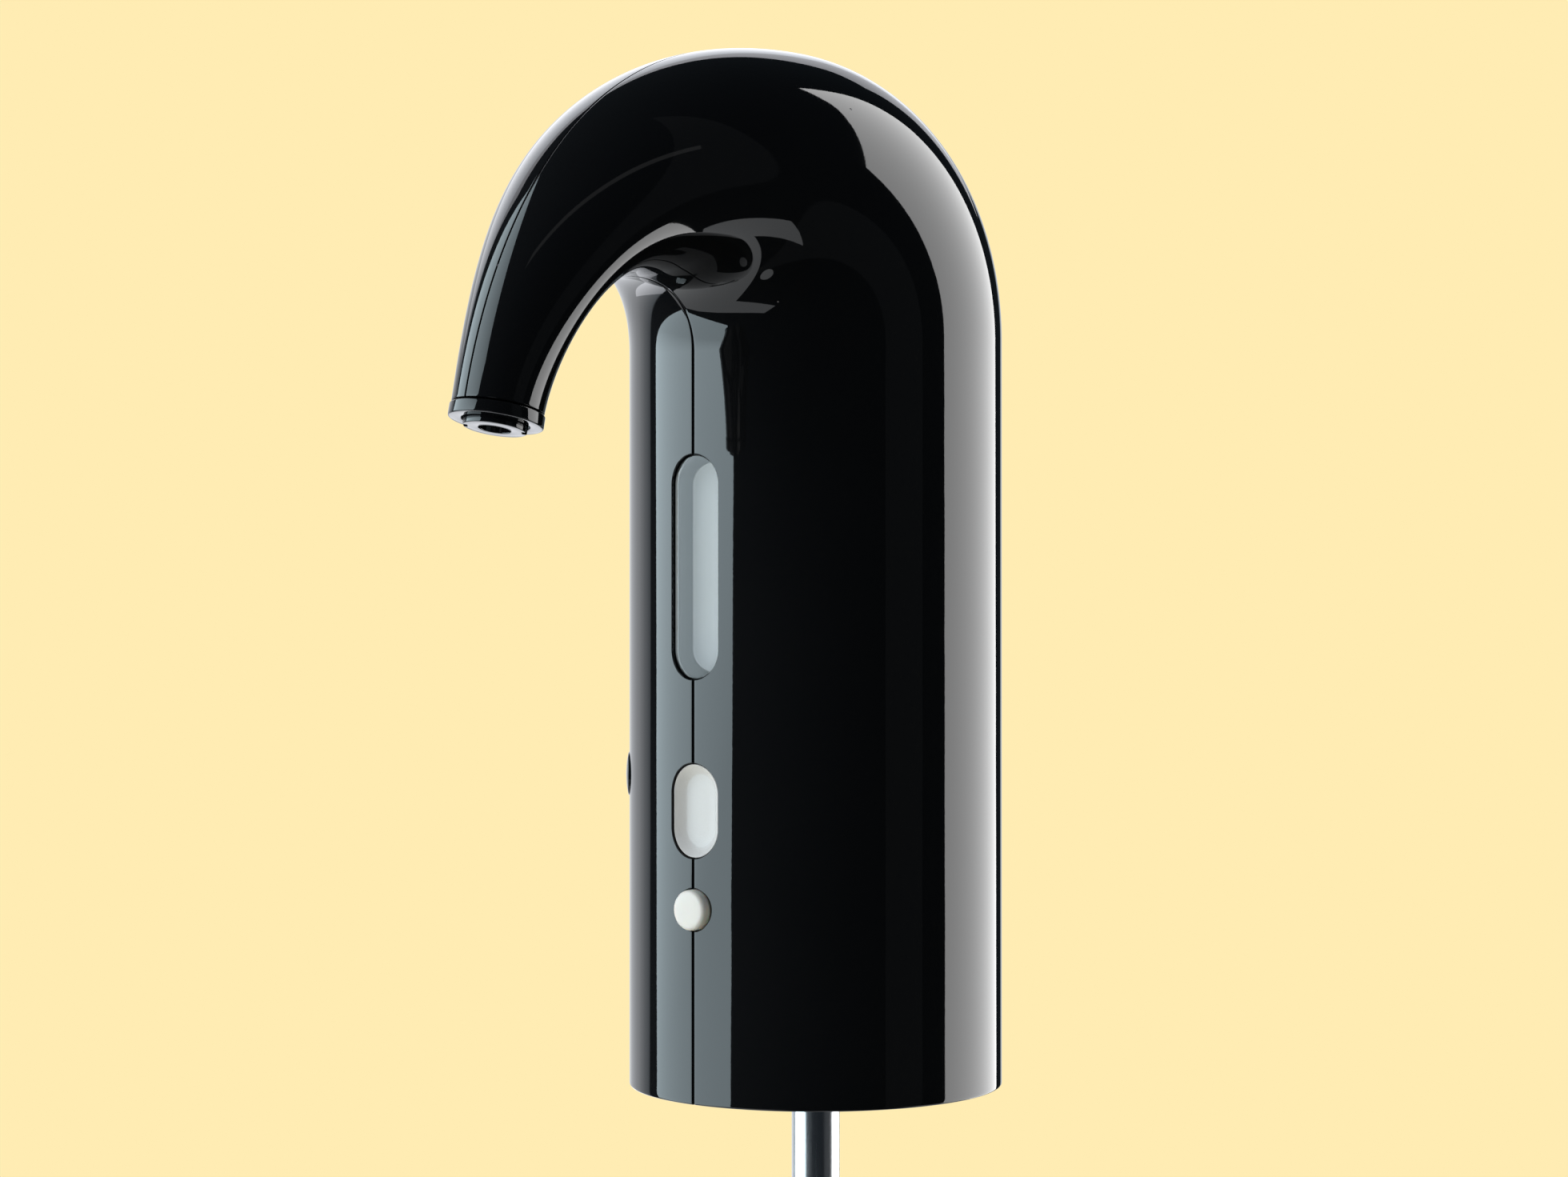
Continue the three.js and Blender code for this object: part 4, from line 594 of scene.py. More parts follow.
def finished(thing, finish, body="housing", nodes=None, at=None, sharp=38.0, normals=None):
    """Puts a piece in place, smooths it, gives it its finish and its body, and hides the frame's nodes that it stands
    for.
    """
    if at is not None:
        moved(thing, at)
    dressed(thing, finish, body)
    mesh = thing.data
    mesh.shade_smooth()
    mesh.set_sharp_from_angle(angle=math.radians(sharp))
    if normals is not None:
        mesh.normals_split_custom_set(normals(mesh))
    mesh.update()
    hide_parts(*(nodes or [thing.name.split(".")[0]]))
    return thing


# ---- The housing, by its rule ---------------------------------------------------------------

def end_tree(w, out, geometry, finish):
    """Ends a tree of geometry nodes with real faces in one finish."""
    real = w.result("GeometryNodeRealizeInstances", {"Geometry": geometry})
    w.feed(out[0], w.result("GeometryNodeSetMaterial", {"Geometry": real, "Material": finish}))
    return w.tree


def housing_rule():
    """Geometry nodes that lay a flat pattern on the cane: two profile lines and one law of width."""
    roles = ("Start", "Start Handle", "End Handle", "End")
    inputs = {"Pattern": "Geometry", "Body Radius": BODY_RADIUS, "Spout Radius": SPOUT_RADIUS, "Side": 1.0,
              "Narrow Start": NARROW_START, "Narrow End": NARROW_END, "Throat Pairing": THROAT_PAIRING,
              "Run Forward": TIP_RUN[0], "Run Up": TIP_RUN[1], "Finish": "Material"}
    for line, segments in (("Back", BACK_LINE), ("Throat", THROAT_LINE)):
        for part, segment in enumerate(segments, 1):
            for role, (forward, height) in zip(roles, segment):
                inputs[f"{line} {part} {role}"] = (forward, 0.0, height)
    w, given, out = new_tree("cane_housing", "GeometryNodeTree", inputs, {"Shell": "Geometry"})

    def along(name, share):
        """The forward place and the height at a share of a profile line's length."""
        parts = [w.result("GeometryNodeCurvePrimitiveBezierSegment",
                          {"Resolution": LINE_STEPS, **{role: given[f"{name} {part} {role}"] for role in roles}})
                 for part in (1, 2)]
        lengths = [w.result("GeometryNodeCurveLength", {0: part}) for part in parts]
        gone = share * (lengths[0] + lengths[1])
        places = []
        for part, length, start in zip(parts, lengths, (gone, gone - lengths[0])):
            factor = w.math("DIVIDE", start, length, clamp=True)
            place = w.result("GeometryNodeSampleCurve", {"Curves": part, "Factor": factor}, "Position",
                             mode="FACTOR", data_type="FLOAT")
            places.append((w.axis(place, 0), w.axis(place, 2)))
        later = w.math("GREATER_THAN", gone, lengths[0])
        return [w.math("MULTIPLY_ADD", later, last - first, first) for first, last in zip(*places)]

    run, lift, base, depth, column, edge, past = (
        w.result("GeometryNodeInputNamedAttribute", {"Name": note}, data_type="FLOAT") for note in PATTERN_NOTES)
    back, throat = along("Back", run), along("Throat", run ** given["Throat Pairing"])
    (middle_f, half_f), (middle_h, half_h) = (((b + t) * 0.5, (b - t) * 0.5) for b, t in zip(back, throat))
    chord = w.math("SQRT", half_f * half_f + half_h * half_h)
    drawn = (chord - depth) / chord
    law = w.math("MAXIMUM", 1.0 - run ** given["Narrow Start"], 0.0) ** given["Narrow End"]
    width = given["Spout Radius"] + (given["Body Radius"] - given["Spout Radius"]) * law
    reach = width - depth
    first = w.math("ARCSINE", edge / reach)
    angle = w.math("MULTIPLY_ADD", math.pi - first * 2.0, column, first)
    swing = w.math("COSINE", angle)
    forward = w.math("MULTIPLY_ADD", half_f * drawn, swing, middle_f) + past * given["Run Forward"]
    height = w.math("MULTIPLY_ADD", half_h * drawn, swing, middle_h) + past * given["Run Up"]
    side = reach * w.math("SINE", angle) * given["Side"]
    # The straight body: the same place across, on a level between the rim and the first section
    straight = 1.0 - lift
    forward = forward * lift + (depth - given["Body Radius"]) * swing * straight
    height = height * lift + base * straight
    place = w.xyz(side, forward * -1.0, height)
    laid = w.result("GeometryNodeSetPosition", {"Geometry": given["Pattern"], "Position": place})
    return end_tree(w, out, laid, given["Finish"])


def run_tree(thing, tree, values):
    """Puts a tree on an object with its named inputs, and bakes it."""
    made = thing.modifiers.new(tree.name, "NODES")
    made.node_group = tree
    names = {s.name: s.identifier for s in tree.interface.items_tree if s.in_out == "INPUT"}
    for key, value in values.items():
        made[names[key]] = value
    return baked(thing)


LINE_STEPS = 200
PATTERN_NOTES = ("run", "lift", "base", "depth", "column", "edge", "past")
HOUSING_RULE = housing_rule()


def shell_rows():
    """The rows of the pattern up the body and along the hook: run, lift, base height, edge depth, past."""
    turns = quarter(EDGE_STEPS)
    rows = [(0.0, 0.0, RIM_ROUND * (1 - math.cos(turn)), RIM_ROUND * (1 - math.sin(turn)), 0.0) for turn in turns]
    lifts = (FIRST_LIFT, *[k / BODY_ROWS for k in range(1, BODY_ROWS)], LAST_LIFT, 1.0)
    rows += [(0.0, lift, RIM_ROUND, 0.0, 0.0) for lift in lifts]
    rows += [(run, 1.0, 0.0, 0.0, 0.0) for run in (FIRST_RUN, *[k / HOOK_ROWS for k in range(1, HOOK_ROWS)])]
    rows += [(1.0, 1.0, 0.0, 0.0, -2 * TIP_ROUND)]
    rows += [(1.0, 1.0, 0.0, TIP_ROUND * (1 - math.cos(turn)), -TIP_ROUND * (1 - math.sin(turn))) for turn in turns]
    return rows


def seam_profile(side):
    """From the inner wall to the outer face at the seam, as distances from the middle plane and depths."""
    gap = SEAM_GAP / 2
    reach, inset = (-LIP_REACH, LIP_INSET) if side > 0 else (LIP_REACH + FIT, LIP_INSET - FIT)
    return [(reach, None), (reach, inset), (gap, inset)] + [
        (gap + SEAM_ROUND * (1 - math.cos(turn)), SEAM_ROUND * (1 - math.sin(turn)))
        for turn in quarter(EDGE_STEPS)[:-1]]


def shell_pattern(side, name):
    """The flat pattern of one shell wall: a ring of columns round the wall, in rows up the cane."""
    profile = seam_profile(side)
    lip = profile[0][0]
    outer = [(column, SEAM_GAP / 2 + SEAM_ROUND, 0.0) for column in WALL_COLUMNS]
    inner = [(column, lip, None) for column in WALL_COLUMNS[-2:0:-1]]
    ring = [(0.0, *place) for place in profile] + outer + [(1.0, *place) for place in reversed(profile)] + inner
    rows = shell_rows()
    count, first = len(ring), len(profile)
    points, notes = [], {note: [] for note in PATTERN_NOTES}
    for r, (run, lift, base, inset, past) in enumerate(rows):
        tight = 1 - SEAM_TIGHT * min(run / SEAM_TIGHT_RUN, 1.0)
        for k, (column, edge, depth) in enumerate(ring):
            points.append((k, r, 0))
            if depth is not None and 0 < edge < LIP_REACH:
                edge, depth = edge * tight, depth if depth > SEAM_ROUND else depth * tight
            level = base if lift < 1 else 0.0
            thickness = WALL if depth is None else min(depth + inset, WALL)
            for note, value in zip(notes.values(), (run, lift, level, thickness, column, edge, past)):
                note.append(value)
    last = (len(rows) - 1) * count
    faces = [face for low in range(0, last, count) for face in band(low, low + count, count)]
    spans = len(WALL_COLUMNS) - 1
    far = first + spans
    caps = [[*range(first + 2), count - 1], [*range(far - 1, far + first + 2)]]
    caps += [[first + k, first + k + 1, count - 1 - k, count - k] for k in range(1, spans - 1)]
    faces += [tuple(reversed(cap)) for cap in caps] + [tuple(last + k for k in cap) for cap in caps]
    made = mesh_object(name, points, faces)
    for note, values in notes.items():
        made.data.attributes.new(note, "FLOAT", "POINT").data.foreach_set("value", values)
    return made


def skin_normals(source, scale):
    """Gives a cut mesh the normals of the whole skin it was cut from, and its own elsewhere."""
    points = [v.co * scale for v in source.data.vertices]
    polygons = [tuple(p.vertices) for p in source.data.polygons]
    normals = [v.normal.copy() for v in source.data.vertices]
    tree = BVHTree.FromPolygons(points, polygons)
    on_edge, on_skin, same_way = 1e-3 * MM, 2e-3 * MM, 0.8

    def corner_weights(polygon, place):
        corners = [points[i] for i in polygon]
        count = len(corners)
        for k in range(count):
            start, run = corners[k], corners[(k + 1) % count] - corners[k]
            share = min(max((place - start).dot(run) / max(run.length_squared, 1e-20), 0.0), 1.0)
            if (start + run * share - place).length < on_edge:
                return [1 - share if n == k else share if n == (k + 1) % count else 0.0 for n in range(count)]
        weights = []
        for k in range(count):
            a, b, c = corners[k - 1], corners[k], corners[(k + 1) % count]
            sides = (a - place).cross(b - place).length * (b - place).cross(c - place).length
            weights.append((b - a).cross(c - a).length / max(sides, 1e-24))
        return [weight / sum(weights) for weight in weights]

    def for_mesh(mesh):
        own = [n.vector.copy() for n in mesh.corner_normals]
        found = {}
        for v in mesh.vertices:
            place, _, index, distance = tree.find_nearest(v.co)
            if index is None or distance > on_skin:
                continue
            polygon = polygons[index]
            normal = Vector((0, 0, 0))
            for weight, corner in zip(corner_weights(polygon, place), polygon):
                normal += normals[corner] * weight
            if normal.length > 1e-9:
                found[v.index] = normal.normalized()
        for polygon in mesh.polygons:
            for loop in polygon.loop_indices:
                index = mesh.loops[loop].vertex_index
                if index in found and found[index].dot(polygon.normal) > same_way:
                    own[loop] = found[index]
        return own

    return for_mesh


def shell(side, name):
    """One shell: its wall, two screw bosses on webs, and its openings."""
    finish = FINISH["gloss_black"]
    made = outward(run_tree(shell_pattern(side, name), HOUSING_RULE, {"Side": float(side), "Finish": finish}))
    whole = mesh_object(name + "_whole", [v.co for v in made.data.vertices],
                        [tuple(p.vertices) for p in made.data.polygons])
    low, high, hole_top, web_side = 8.3, 22.0, 20.0, 1.6
    holes = []
    for angle in (45, 315) if side > 0 else (135, 225):
        x, y = polar(angle, SCREW_CIRCLE)
        web = block("web", SCREW_CIRCLE, BODY_RADIUS - WALL / 2, -web_side, web_side, low, high)
        joined(made, joined(rod("boss", SCREW_BOSS, low, high, x, y, 0.2), moved(web, about_z(angle))))
        holes.append(rod("hole", SCREW_HOLE, low - 4, hole_top, x, y))
    power, side_hole = (2 * (radius + BORE_GAP) for radius in (POWER_RADIUS, SIDE_RADIUS))
    tools = [opening_tool("window_cut", (PILL_WIDTH, WINDOW_HEIGHT), WINDOW_CENTRE),
             opening_tool("button_cut", (PILL_WIDTH, BUTTON_HEIGHT), BUTTON_CENTRE),
             opening_tool("power_cut", (power, power), POWER_CENTRE),
             opening_tool("socket_cut", SOCKET_OPENING, SOCKET_CENTRE, math.pi)]
    if side < 0:
        tools.append(opening_tool("side_cut", (side_hole, side_hole), SIDE_CENTRE, -SIDE_TURN))
    cut(made, *holes, *tools)
    finished(made, "gloss_black", normals=skin_normals(whole, MM))
    bpy.data.objects.remove(whole)


shell(1, "right_shell")
shell(-1, "left_shell")


# ---- What follows a path or repeats ---------------------------------------------------------

def path_tube():
    """Geometry nodes that draw a round tube or bar along a line of points."""
    w, given, out = new_tree(
        "tube_on_a_path", "GeometryNodeTree",
        {"Line": "Geometry", "Radius": 1.0, "Sides": 24, "Finish": "Material"}, {"Tube": "Geometry"})
    line = w.result("GeometryNodeMeshToCurve", {0: given["Line"]})
    section = w.result("GeometryNodeCurvePrimitiveCircle", {"Resolution": given["Sides"], "Radius": given["Radius"]})
    tube = w.result("GeometryNodeCurveToMesh", {"Curve": line, "Profile Curve": section, "Fill Caps": True})
    return end_tree(w, out, tube, given["Finish"])


def screw_set():
    """Geometry nodes that put a pan-head screw with a cross recess and a thread at every place."""
    w, given, out = new_tree(
        "screws_at_places", "GeometryNodeTree",
        {"Places": "Geometry", "Length": 12.0, "Shank Radius": 0.86, "Thread Radius": 1.0, "Head Radius": 1.9,
         "Head Height": 1.3, "Recess Width": 0.42, "Recess Depth": 0.7, "Pitch": 0.7, "Finish": "Material"},
        {"Screws": "Geometry"})
    face_share, face_height, rim_height, recess_share = 0.86, 0.6, 1.4, 1.15

    def stood(geometry, height, turn=0.0):
        return w.result("GeometryNodeTransform", {"Geometry": geometry, "Translation": w.xyz(z=height),
                                                  "Rotation": (0.0, 0.0, turn)})

    half_head = given["Head Height"] * 0.5
    face = w.result("GeometryNodeMeshCone", {"Vertices": 40, "Radius Top": given["Head Radius"],
                                             "Radius Bottom": given["Head Radius"] * face_share,
                                             "Depth": half_head * face_height})
    rim = w.result("GeometryNodeMeshCylinder", {"Vertices": 40, "Radius": given["Head Radius"],
                                                "Depth": half_head * rim_height})
    head = w.node("GeometryNodeMeshBoolean", operation="UNION")
    for piece in (face, stood(rim, half_head * (face_height + rim_height / 2))):
        w.feed(head.inputs[1], piece)
    recess = w.node("GeometryNodeMeshBoolean", {0: head.outputs[0]}, operation="DIFFERENCE")
    size = w.xyz(given["Head Radius"] * recess_share, given["Recess Width"], given["Recess Depth"] * 2.0)
    bar = w.result("GeometryNodeMeshCube", {"Size": size})
    for turn in (0.0, math.pi / 2):
        w.feed(recess.inputs[1], stood(bar, 0.0, turn))
    body = given["Length"] - given["Head Height"]
    shank = w.result("GeometryNodeMeshCylinder", {"Vertices": 24, "Radius": given["Shank Radius"], "Depth": body})
    wound_length = body - given["Pitch"]
    thread = w.result("GeometryNodeCurveSpiral",
                      {"Resolution": 20, "Rotations": wound_length / given["Pitch"], "Height": wound_length,
                       "Start Radius": given["Shank Radius"], "End Radius": given["Shank Radius"]})
    crest = w.result("GeometryNodeCurvePrimitiveCircle",
                     {"Resolution": 3, "Radius": given["Thread Radius"] - given["Shank Radius"]})
    wound = w.result("GeometryNodeCurveToMesh", {"Curve": thread, "Profile Curve": crest, "Fill Caps": True})
    whole = w.node("GeometryNodeJoinGeometry")
    for piece, middle in ((recess.outputs[0], None),
                          (shank, w.math("MULTIPLY_ADD", body, 0.5, given["Head Height"])),
                          (wound, w.math("MULTIPLY_ADD", given["Pitch"], 0.5, given["Head Height"]))):
        w.feed(whole.inputs[0], piece if middle is None else stood(piece, middle))
    aim = w.result("GeometryNodeInputNamedAttribute", {"Name": "aim"}, data_type="FLOAT_VECTOR")
    placed = w.result("GeometryNodeInstanceOnPoints", {
        "Points": w.result("GeometryNodeMeshToPoints", {0: given["Places"]}), "Instance": whole.outputs[0],
        "Rotation": w.result("FunctionNodeAlignRotationToVector", {"Vector": aim}, axis="Z")})
    return end_tree(w, out, placed, given["Finish"])


def board_parts():
    """Geometry nodes that set small chip parts on a part of a board's face, with a fixed seed."""
    w, given, out = new_tree(
        "parts_on_a_board", "GeometryNodeTree",
        {"Places": "Geometry", "Part Length": 1.6, "Part Width": 0.8, "Part Height": 0.6, "Seed": 3,
         "Share": 0.7, "Finish": "Material"}, {"Parts": "Geometry"})
    length, width, height = given["Part Length"], given["Part Width"], given["Part Height"]
    cap_length, cap_height, cap_width, cap_place = 0.25, 1.1, 1.08, 0.4
    chip = w.result("GeometryNodeMeshCube", {"Size": w.xyz(length, height, width)})
    cap = w.result("GeometryNodeMeshCube",
                   {"Size": w.xyz(length * cap_length, height * cap_height, width * cap_width)})
    whole = w.node("GeometryNodeJoinGeometry", {0: chip})
    for side in (-cap_place, cap_place):
        end = w.result("GeometryNodeTransform", {"Geometry": cap, "Translation": w.xyz(length * side)})
        w.feed(whole.inputs[0], end)
    chance, spin = (w.result("FunctionNodeRandomValue", {"Seed": seed}, 1, data_type="FLOAT")
                    for seed in (given["Seed"], given["Seed"] + 5.0))
    quarter_turns = w.math("ROUND", spin) * (math.pi / 2)
    placed = w.result("GeometryNodeInstanceOnPoints", {
        "Points": w.result("GeometryNodeMeshToPoints", {0: given["Places"]}), "Instance": whole.outputs[0],
        "Selection": w.math("LESS_THAN", chance, given["Share"]), "Rotation": w.xyz(y=quarter_turns)})
    return end_tree(w, out, placed, given["Finish"])


PATH_TUBE = path_tube()
SCREW_SET = screw_set()
BOARD_PARTS = board_parts()


def blended(first, last, start, end, t):
    """The point at t on the way from one point, reached at the start, to another, reached at the end."""
    return first * ((end - t) / (end - start)) + last * ((t - start) / (end - start))


def smooth_path(points, steps=14):
    """Points of a smooth line through the given ones, close where they are close."""
    p = [Vector(q) for q in points]
    p = [p[0] * 2 - p[1], *p, p[-1] * 2 - p[-2]]
    line = []
    for k in range(1, len(p) - 2):
        a, b, c, d = p[k - 1:k + 3]
        knots = [0.0]
        for start, end in ((a, b), (b, c), (c, d)):
            knots.append(knots[-1] + max((end - start).length, TINY) ** 0.5)
        t0, t1, t2, t3 = knots
        for step in range(steps):
            t = t1 + (t2 - t1) * step / steps
            ab, bc, cd = blended(a, b, t0, t1, t), blended(b, c, t1, t2, t), blended(c, d, t2, t3, t)
            abc, bcd = blended(ab, bc, t0, t2, t), blended(bc, cd, t1, t3, t)
            line.append(blended(abc, bcd, t1, t2, t))
    line.append(p[-2])
    return line


def solid_path(name, line, radius, finish, sides):
    made = mesh_object(name, line, edges=[(k, k + 1) for k in range(len(line) - 1)])
    return outward(run_tree(made, PATH_TUBE, {"Radius": radius, "Sides": sides, "Finish": FINISH[finish]}))


def along_path(name, line, radius, finish, sides, bore=0.0):
    """A bar along a line, or a hose with a bore through both ends."""
    made = solid_path(name, line, radius, finish, sides)
    if bore:
        longer = [line[0] * 2 - line[1], *line[1:-1], line[-1] * 2 - line[-2]]
        cut(made, solid_path("bore", longer, bore, finish, sides))
    return made


def screws(name, places, aim, length):
    """Screws that all point one way, for the nodes whose names are numbered from 1."""
    made = mesh_object(name, places)
    made.data.attributes.new("aim", "FLOAT_VECTOR", "POINT").data.foreach_set("vector", aim * len(places))
    run_tree(made, SCREW_SET, {"Length": length, "Finish": FINISH["screw_steel"]})
    finished(made, "screw_steel", nodes=[f"{name[:-1]}_{n}" for n in range(1, len(places) + 1)], sharp=30)


# ---- Nozzle ---------------------------------------------------------------------------------

AT_SPOUT_END = Matrix.Translation((0, -NOZZLE[0], NOZZLE[1])) @ Matrix.Rotation(-SPOUT_TILT, 4, "X")
RING_RADIUS, RING_BOTTOM, RING_WEB, NOTCH = 7.2, -2.2, -1.5, 0.8
SPIGOT, SPIGOT_INNER, RING_HOLE, INSERT_RADIUS = 4.7, 4.2, 5.15, 4.85
INSERT_BOTTOM, INSERT_SHOULDER, INSERT_NECK = RING_BOTTOM - 1.0, RING_WEB - FIT, SPIGOT_INNER - BORE_GAP

nozzle_ring = turned("nozzle_ring", [
    (RING_HOLE, RING_BOTTOM, 0.18), (RING_RADIUS, RING_BOTTOM, 0.3), (RING_RADIUS, -FIT, 0.15), (SPIGOT, -FIT, 0),
    (SPIGOT, 4.0, 0.1), (SPIGOT_INNER, 4.0, 0.1), (SPIGOT_INNER, RING_WEB, 0), (RING_HOLE, RING_WEB, 0)], 0.1, 128)
finished(nozzle_ring, "gloss_black", at=AT_SPOUT_END)

insert = turned("nozzle_insert", [
    (2.45, INSERT_BOTTOM, 0.15), (INSERT_RADIUS, INSERT_BOTTOM, 0.2), (INSERT_RADIUS, INSERT_SHOULDER, 0.1),
    (INSERT_NECK, INSERT_SHOULDER, 0), (INSERT_NECK, 0, 0.1), (1.95, 0, 0), (1.8, 9, 0.05), (1.35, 9, 0.05),
    (1.35, 0, 0), (2.45, INSERT_SHOULDER, 0)], 0.1, 128)
for turn in (40, 220):
    notch = block("notch", INSERT_RADIUS - NOTCH, INSERT_RADIUS + 2, -NOTCH, NOTCH, -6, RING_WEB, 0.12)
    cut(insert, moved(notch, about_z(turn)))
finished(insert, "gloss_black", at=AT_SPOUT_END)

# ---- Window, light strip and buttons --------------------------------------------------------

TRAY_FRONT, TRAY_FLOOR, TRAY_BACK = -28.013, -25.813, -24.913
POCKET_SLANT = 1.15
BOARD_FRONT, BOARD_BACK = -22.313, -20.713
STRIP_FRONT, STRIP_BACK = -23.413, -22.613


def lens():
    """The clear lens, sunk in the window, its face following the round body and its edge rounded."""
    size, sunk, edge = (PILL_WIDTH - 2 * BORE_GAP, WINDOW_HEIGHT - 2 * BORE_GAP), 0.6, 0.15
    rings = [pill_ring(size, WINDOW_CENTRE, plane=TRAY_FRONT - FIT), *rounded_rim(size, WINDOW_CENTRE, sunk, edge, 5)]
    rings += [pill_ring(size, WINDOW_CENTRE, -inset, sunk) for inset in (1.2, 2.4, 3.6, 4.6)]
    return ring_skin("window_lens", rings)


def tray():
    """The tray: a rounded rim and a pocket with slanted walls round a flat floor."""
    outer = (2 * (PILL_WIDTH / 2 + 1.4), WINDOW_HEIGHT + 2.8)
    pocket = (PILL_WIDTH - 0.7, WINDOW_HEIGHT - 0.7)
    steps = [(outer, 0.0, TRAY_BACK), (outer, 0.0, TRAY_FRONT + 0.2), (outer, -0.2, TRAY_FRONT),
             (pocket, 0.15, TRAY_FRONT), (pocket, 0.0, TRAY_FRONT + 0.15)]
    steps += [(pocket, -inset, TRAY_FLOOR - rise) for inset, rise in (
        (0.1, 1.95), (POCKET_SLANT - 0.3, 0.35), (POCKET_SLANT - 0.1, 0.12), (POCKET_SLANT + 0.15, 0.0), (4.0, 0.0))]
    return ring_skin("window_tray", [pill_ring(size, WINDOW_CENTRE, grow, plane=plane) for size, grow, plane in steps])


finished(lens(), "clear_lens", sharp=50)
finished(tray(), "pale_grey")

STRIP_LOW, STRIP_HIGH, LAMP_SIDE = WINDOW_CENTRE - 18.05, WINDOW_CENTRE + 18.05, 1.5
strip = block("led_strip", -3, 3, STRIP_FRONT, STRIP_BACK, STRIP_LOW, STRIP_HIGH, 0.1)
for share in (1 / 6, 1 / 2, 5 / 6):
    middle = STRIP_LOW + (STRIP_HIGH - STRIP_LOW) * share
    joined(strip, block("lamp", -LAMP_SIDE, LAMP_SIDE, STRIP_FRONT - 0.9, STRIP_BACK - 0.4, middle - LAMP_SIDE,
                        middle + LAMP_SIDE, 0.15))
finished(strip, "lamp")


def main_button():
    """The satin button: a dished face in a narrow rim, straight sides, a flange behind the wall and a stem."""
    size = (PILL_WIDTH - 2 * BORE_GAP, BUTTON_HEIGHT - 2 * BORE_GAP)
    sunk, rim, slope, dish, steps = 0.35, 0.1, 1.6, 1.5, 9
    rings = [pill_ring(size, BUTTON_CENTRE, plane=-27.7), *rounded_rim(size, BUTTON_CENTRE, sunk, rim, 4)]
    for k in range(1, steps + 1):
        gone = k / steps
        rings.append(pill_ring(size, BUTTON_CENTRE, -rim - 0.06 - slope * gone, sunk + dish * (1 - (1 - gone) ** 1.3)))
    rings += [pill_ring(size, BUTTON_CENTRE, -inset, sunk + dish) for inset in (3.2, 3.9, 4.5)]
    flange = (PILL_WIDTH + 2.4, BUTTON_HEIGHT + 2.4)
    plates = [ring_skin(name, [pill_ring(outline, BUTTON_CENTRE, plane=plane) for plane in planes])
              for name, outline, planes in (("flange", flange, (-27.257, -28.057)), ("stem", (3, 3), (-26.513, -27.6)))]
    return joined(ring_skin("main_button", rings), *plates)


finished(main_button(), "satin_silver", "main_button")

TO_FRONT = Matrix.Rotation(math.pi / 2, 4, "X")
power = turned("power_button", [
    (0, 26.513), (1.5, 26.513), (1.5, 27.556, 0), (4.45, 27.556), (4.45, 28.356), (POWER_RADIUS, 28.356, 0),
    (POWER_RADIUS, 32.28, 0.85), (1.6, 32.4, 0.6), (0, 32.4)], 0.1, 96, 7)
finished(power, "ivory", "power_button", at=lifted(POWER_CENTRE) @ TO_FRONT, sharp=45)

SIDE_WAY = Vector((-math.sin(SIDE_TURN), -math.cos(SIDE_TURN), 0))
ALONG_SIDE = lifted(SIDE_CENTRE) @ Vector((0, 0, 1)).rotation_difference(SIDE_WAY).to_matrix().to_4x4()
side_button = turned("side_button", [
    (0, 27.492), (3.5, 27.492), (3.5, 25.692), (4.85, 25.692), (4.85, 28.292), (SIDE_RADIUS, 28.292, 0),
    (SIDE_RADIUS, 31.15, 0.25), (2.4, 31.42, 1.2), (0, 31.6)], 0.1, 96, 6)
finished(side_button, "gloss_black", "side_button", at=ALONG_SIDE, sharp=45)

TURNS, TURN_STEPS, COIL_RADIUS, COIL_LOW, COIL_HEIGHT = 3, 28, 2.9, 23.792, 2.4
coil = []
for step in range(TURNS * TURN_STEPS + 1):
    angle = 2 * math.pi * step / TURN_STEPS
    coil.append(Vector((COIL_RADIUS * math.cos(angle), COIL_RADIUS * math.sin(angle),
                        COIL_LOW + COIL_HEIGHT * step / (TURNS * TURN_STEPS))))
finished(along_path("side_button_spring", coil, 0.2, "steel", 12), "steel", at=ALONG_SIDE)

valve = turned("release_valve", [
    (0, 18.096), (1.2, 18.096), (1.2, 13.1), (4, 13.1), (4, 23.092), (1, 23.092), (1, 26.692), (0, 26.692)], 0.2, 64)
finished(valve, "black_plastic", at=ALONG_SIDE)

# ---- Base cup, stopper, manifold and dip tube -----------------------------------------------

BASE_SCREWS = [polar(angle, SCREW_CIRCLE) for angle in (45, 135, 225, 315)]
LEGS = [polar(angle, 16.0) for angle in (25, 155, 310)]

cup = turned("base_cup", [
    (6.8, 44.3, 0.2), (17.2, 44.3, 0.6), (17.2, 1, 0.5), (28.7, 1, 0.3), (28.7, 8, 0.2), (27.2, 8, 0.2),
    (27.2, 3, 0.5), (19, 3, 0.5), (19, 46.7, 0.4), (6.8, 46.7, 0.2)], 0.2, 160)
joined(cup, *at_each(BASE_SCREWS, "standoff", SCREW_BOSS, 2, 8, 0.15),
       block("rest", -2, 2, BOARD_BACK + FIT, -18.1, 26, 30, 0.2))
for x, y in BASE_SCREWS:
    cut(cup, rod("hole", SCREW_HOLE, -4, 22, x, y), rod("sink", SCREW_SINK, -4, 2.7, x, y))
finished(cut(cup, *at_each(LEGS, "hole", SCREW_HOLE, 40, 50)), "black_plastic")


def stopper_line():
    """The stopper's outline: a ribbed taper under a flange."""
    bottom, top, ribs = 16.0, 41.0, 4
    pitch = (top - bottom) / (ribs + 1)
    line = [(6.8, bottom, 0.3), (7.5, bottom, 0.3)]
    for rib in range(ribs):
        low = bottom + pitch * (rib + 0.5)
        radius = 8.4 + rib / ribs
        line += [(radius, low, 0.2), (radius + 0.9, low + pitch / 2, 0.3), (radius, low + pitch * 0.75, 0.3)]
    return line + [(9.4, top, 0.5), (15, top, 0.4), (15, 44, 0.4), (6.8, 44, 0.2)]


finished(turned("bottle_stopper", stopper_line(), 0.2, 128), "dark_silicone", sharp=50)


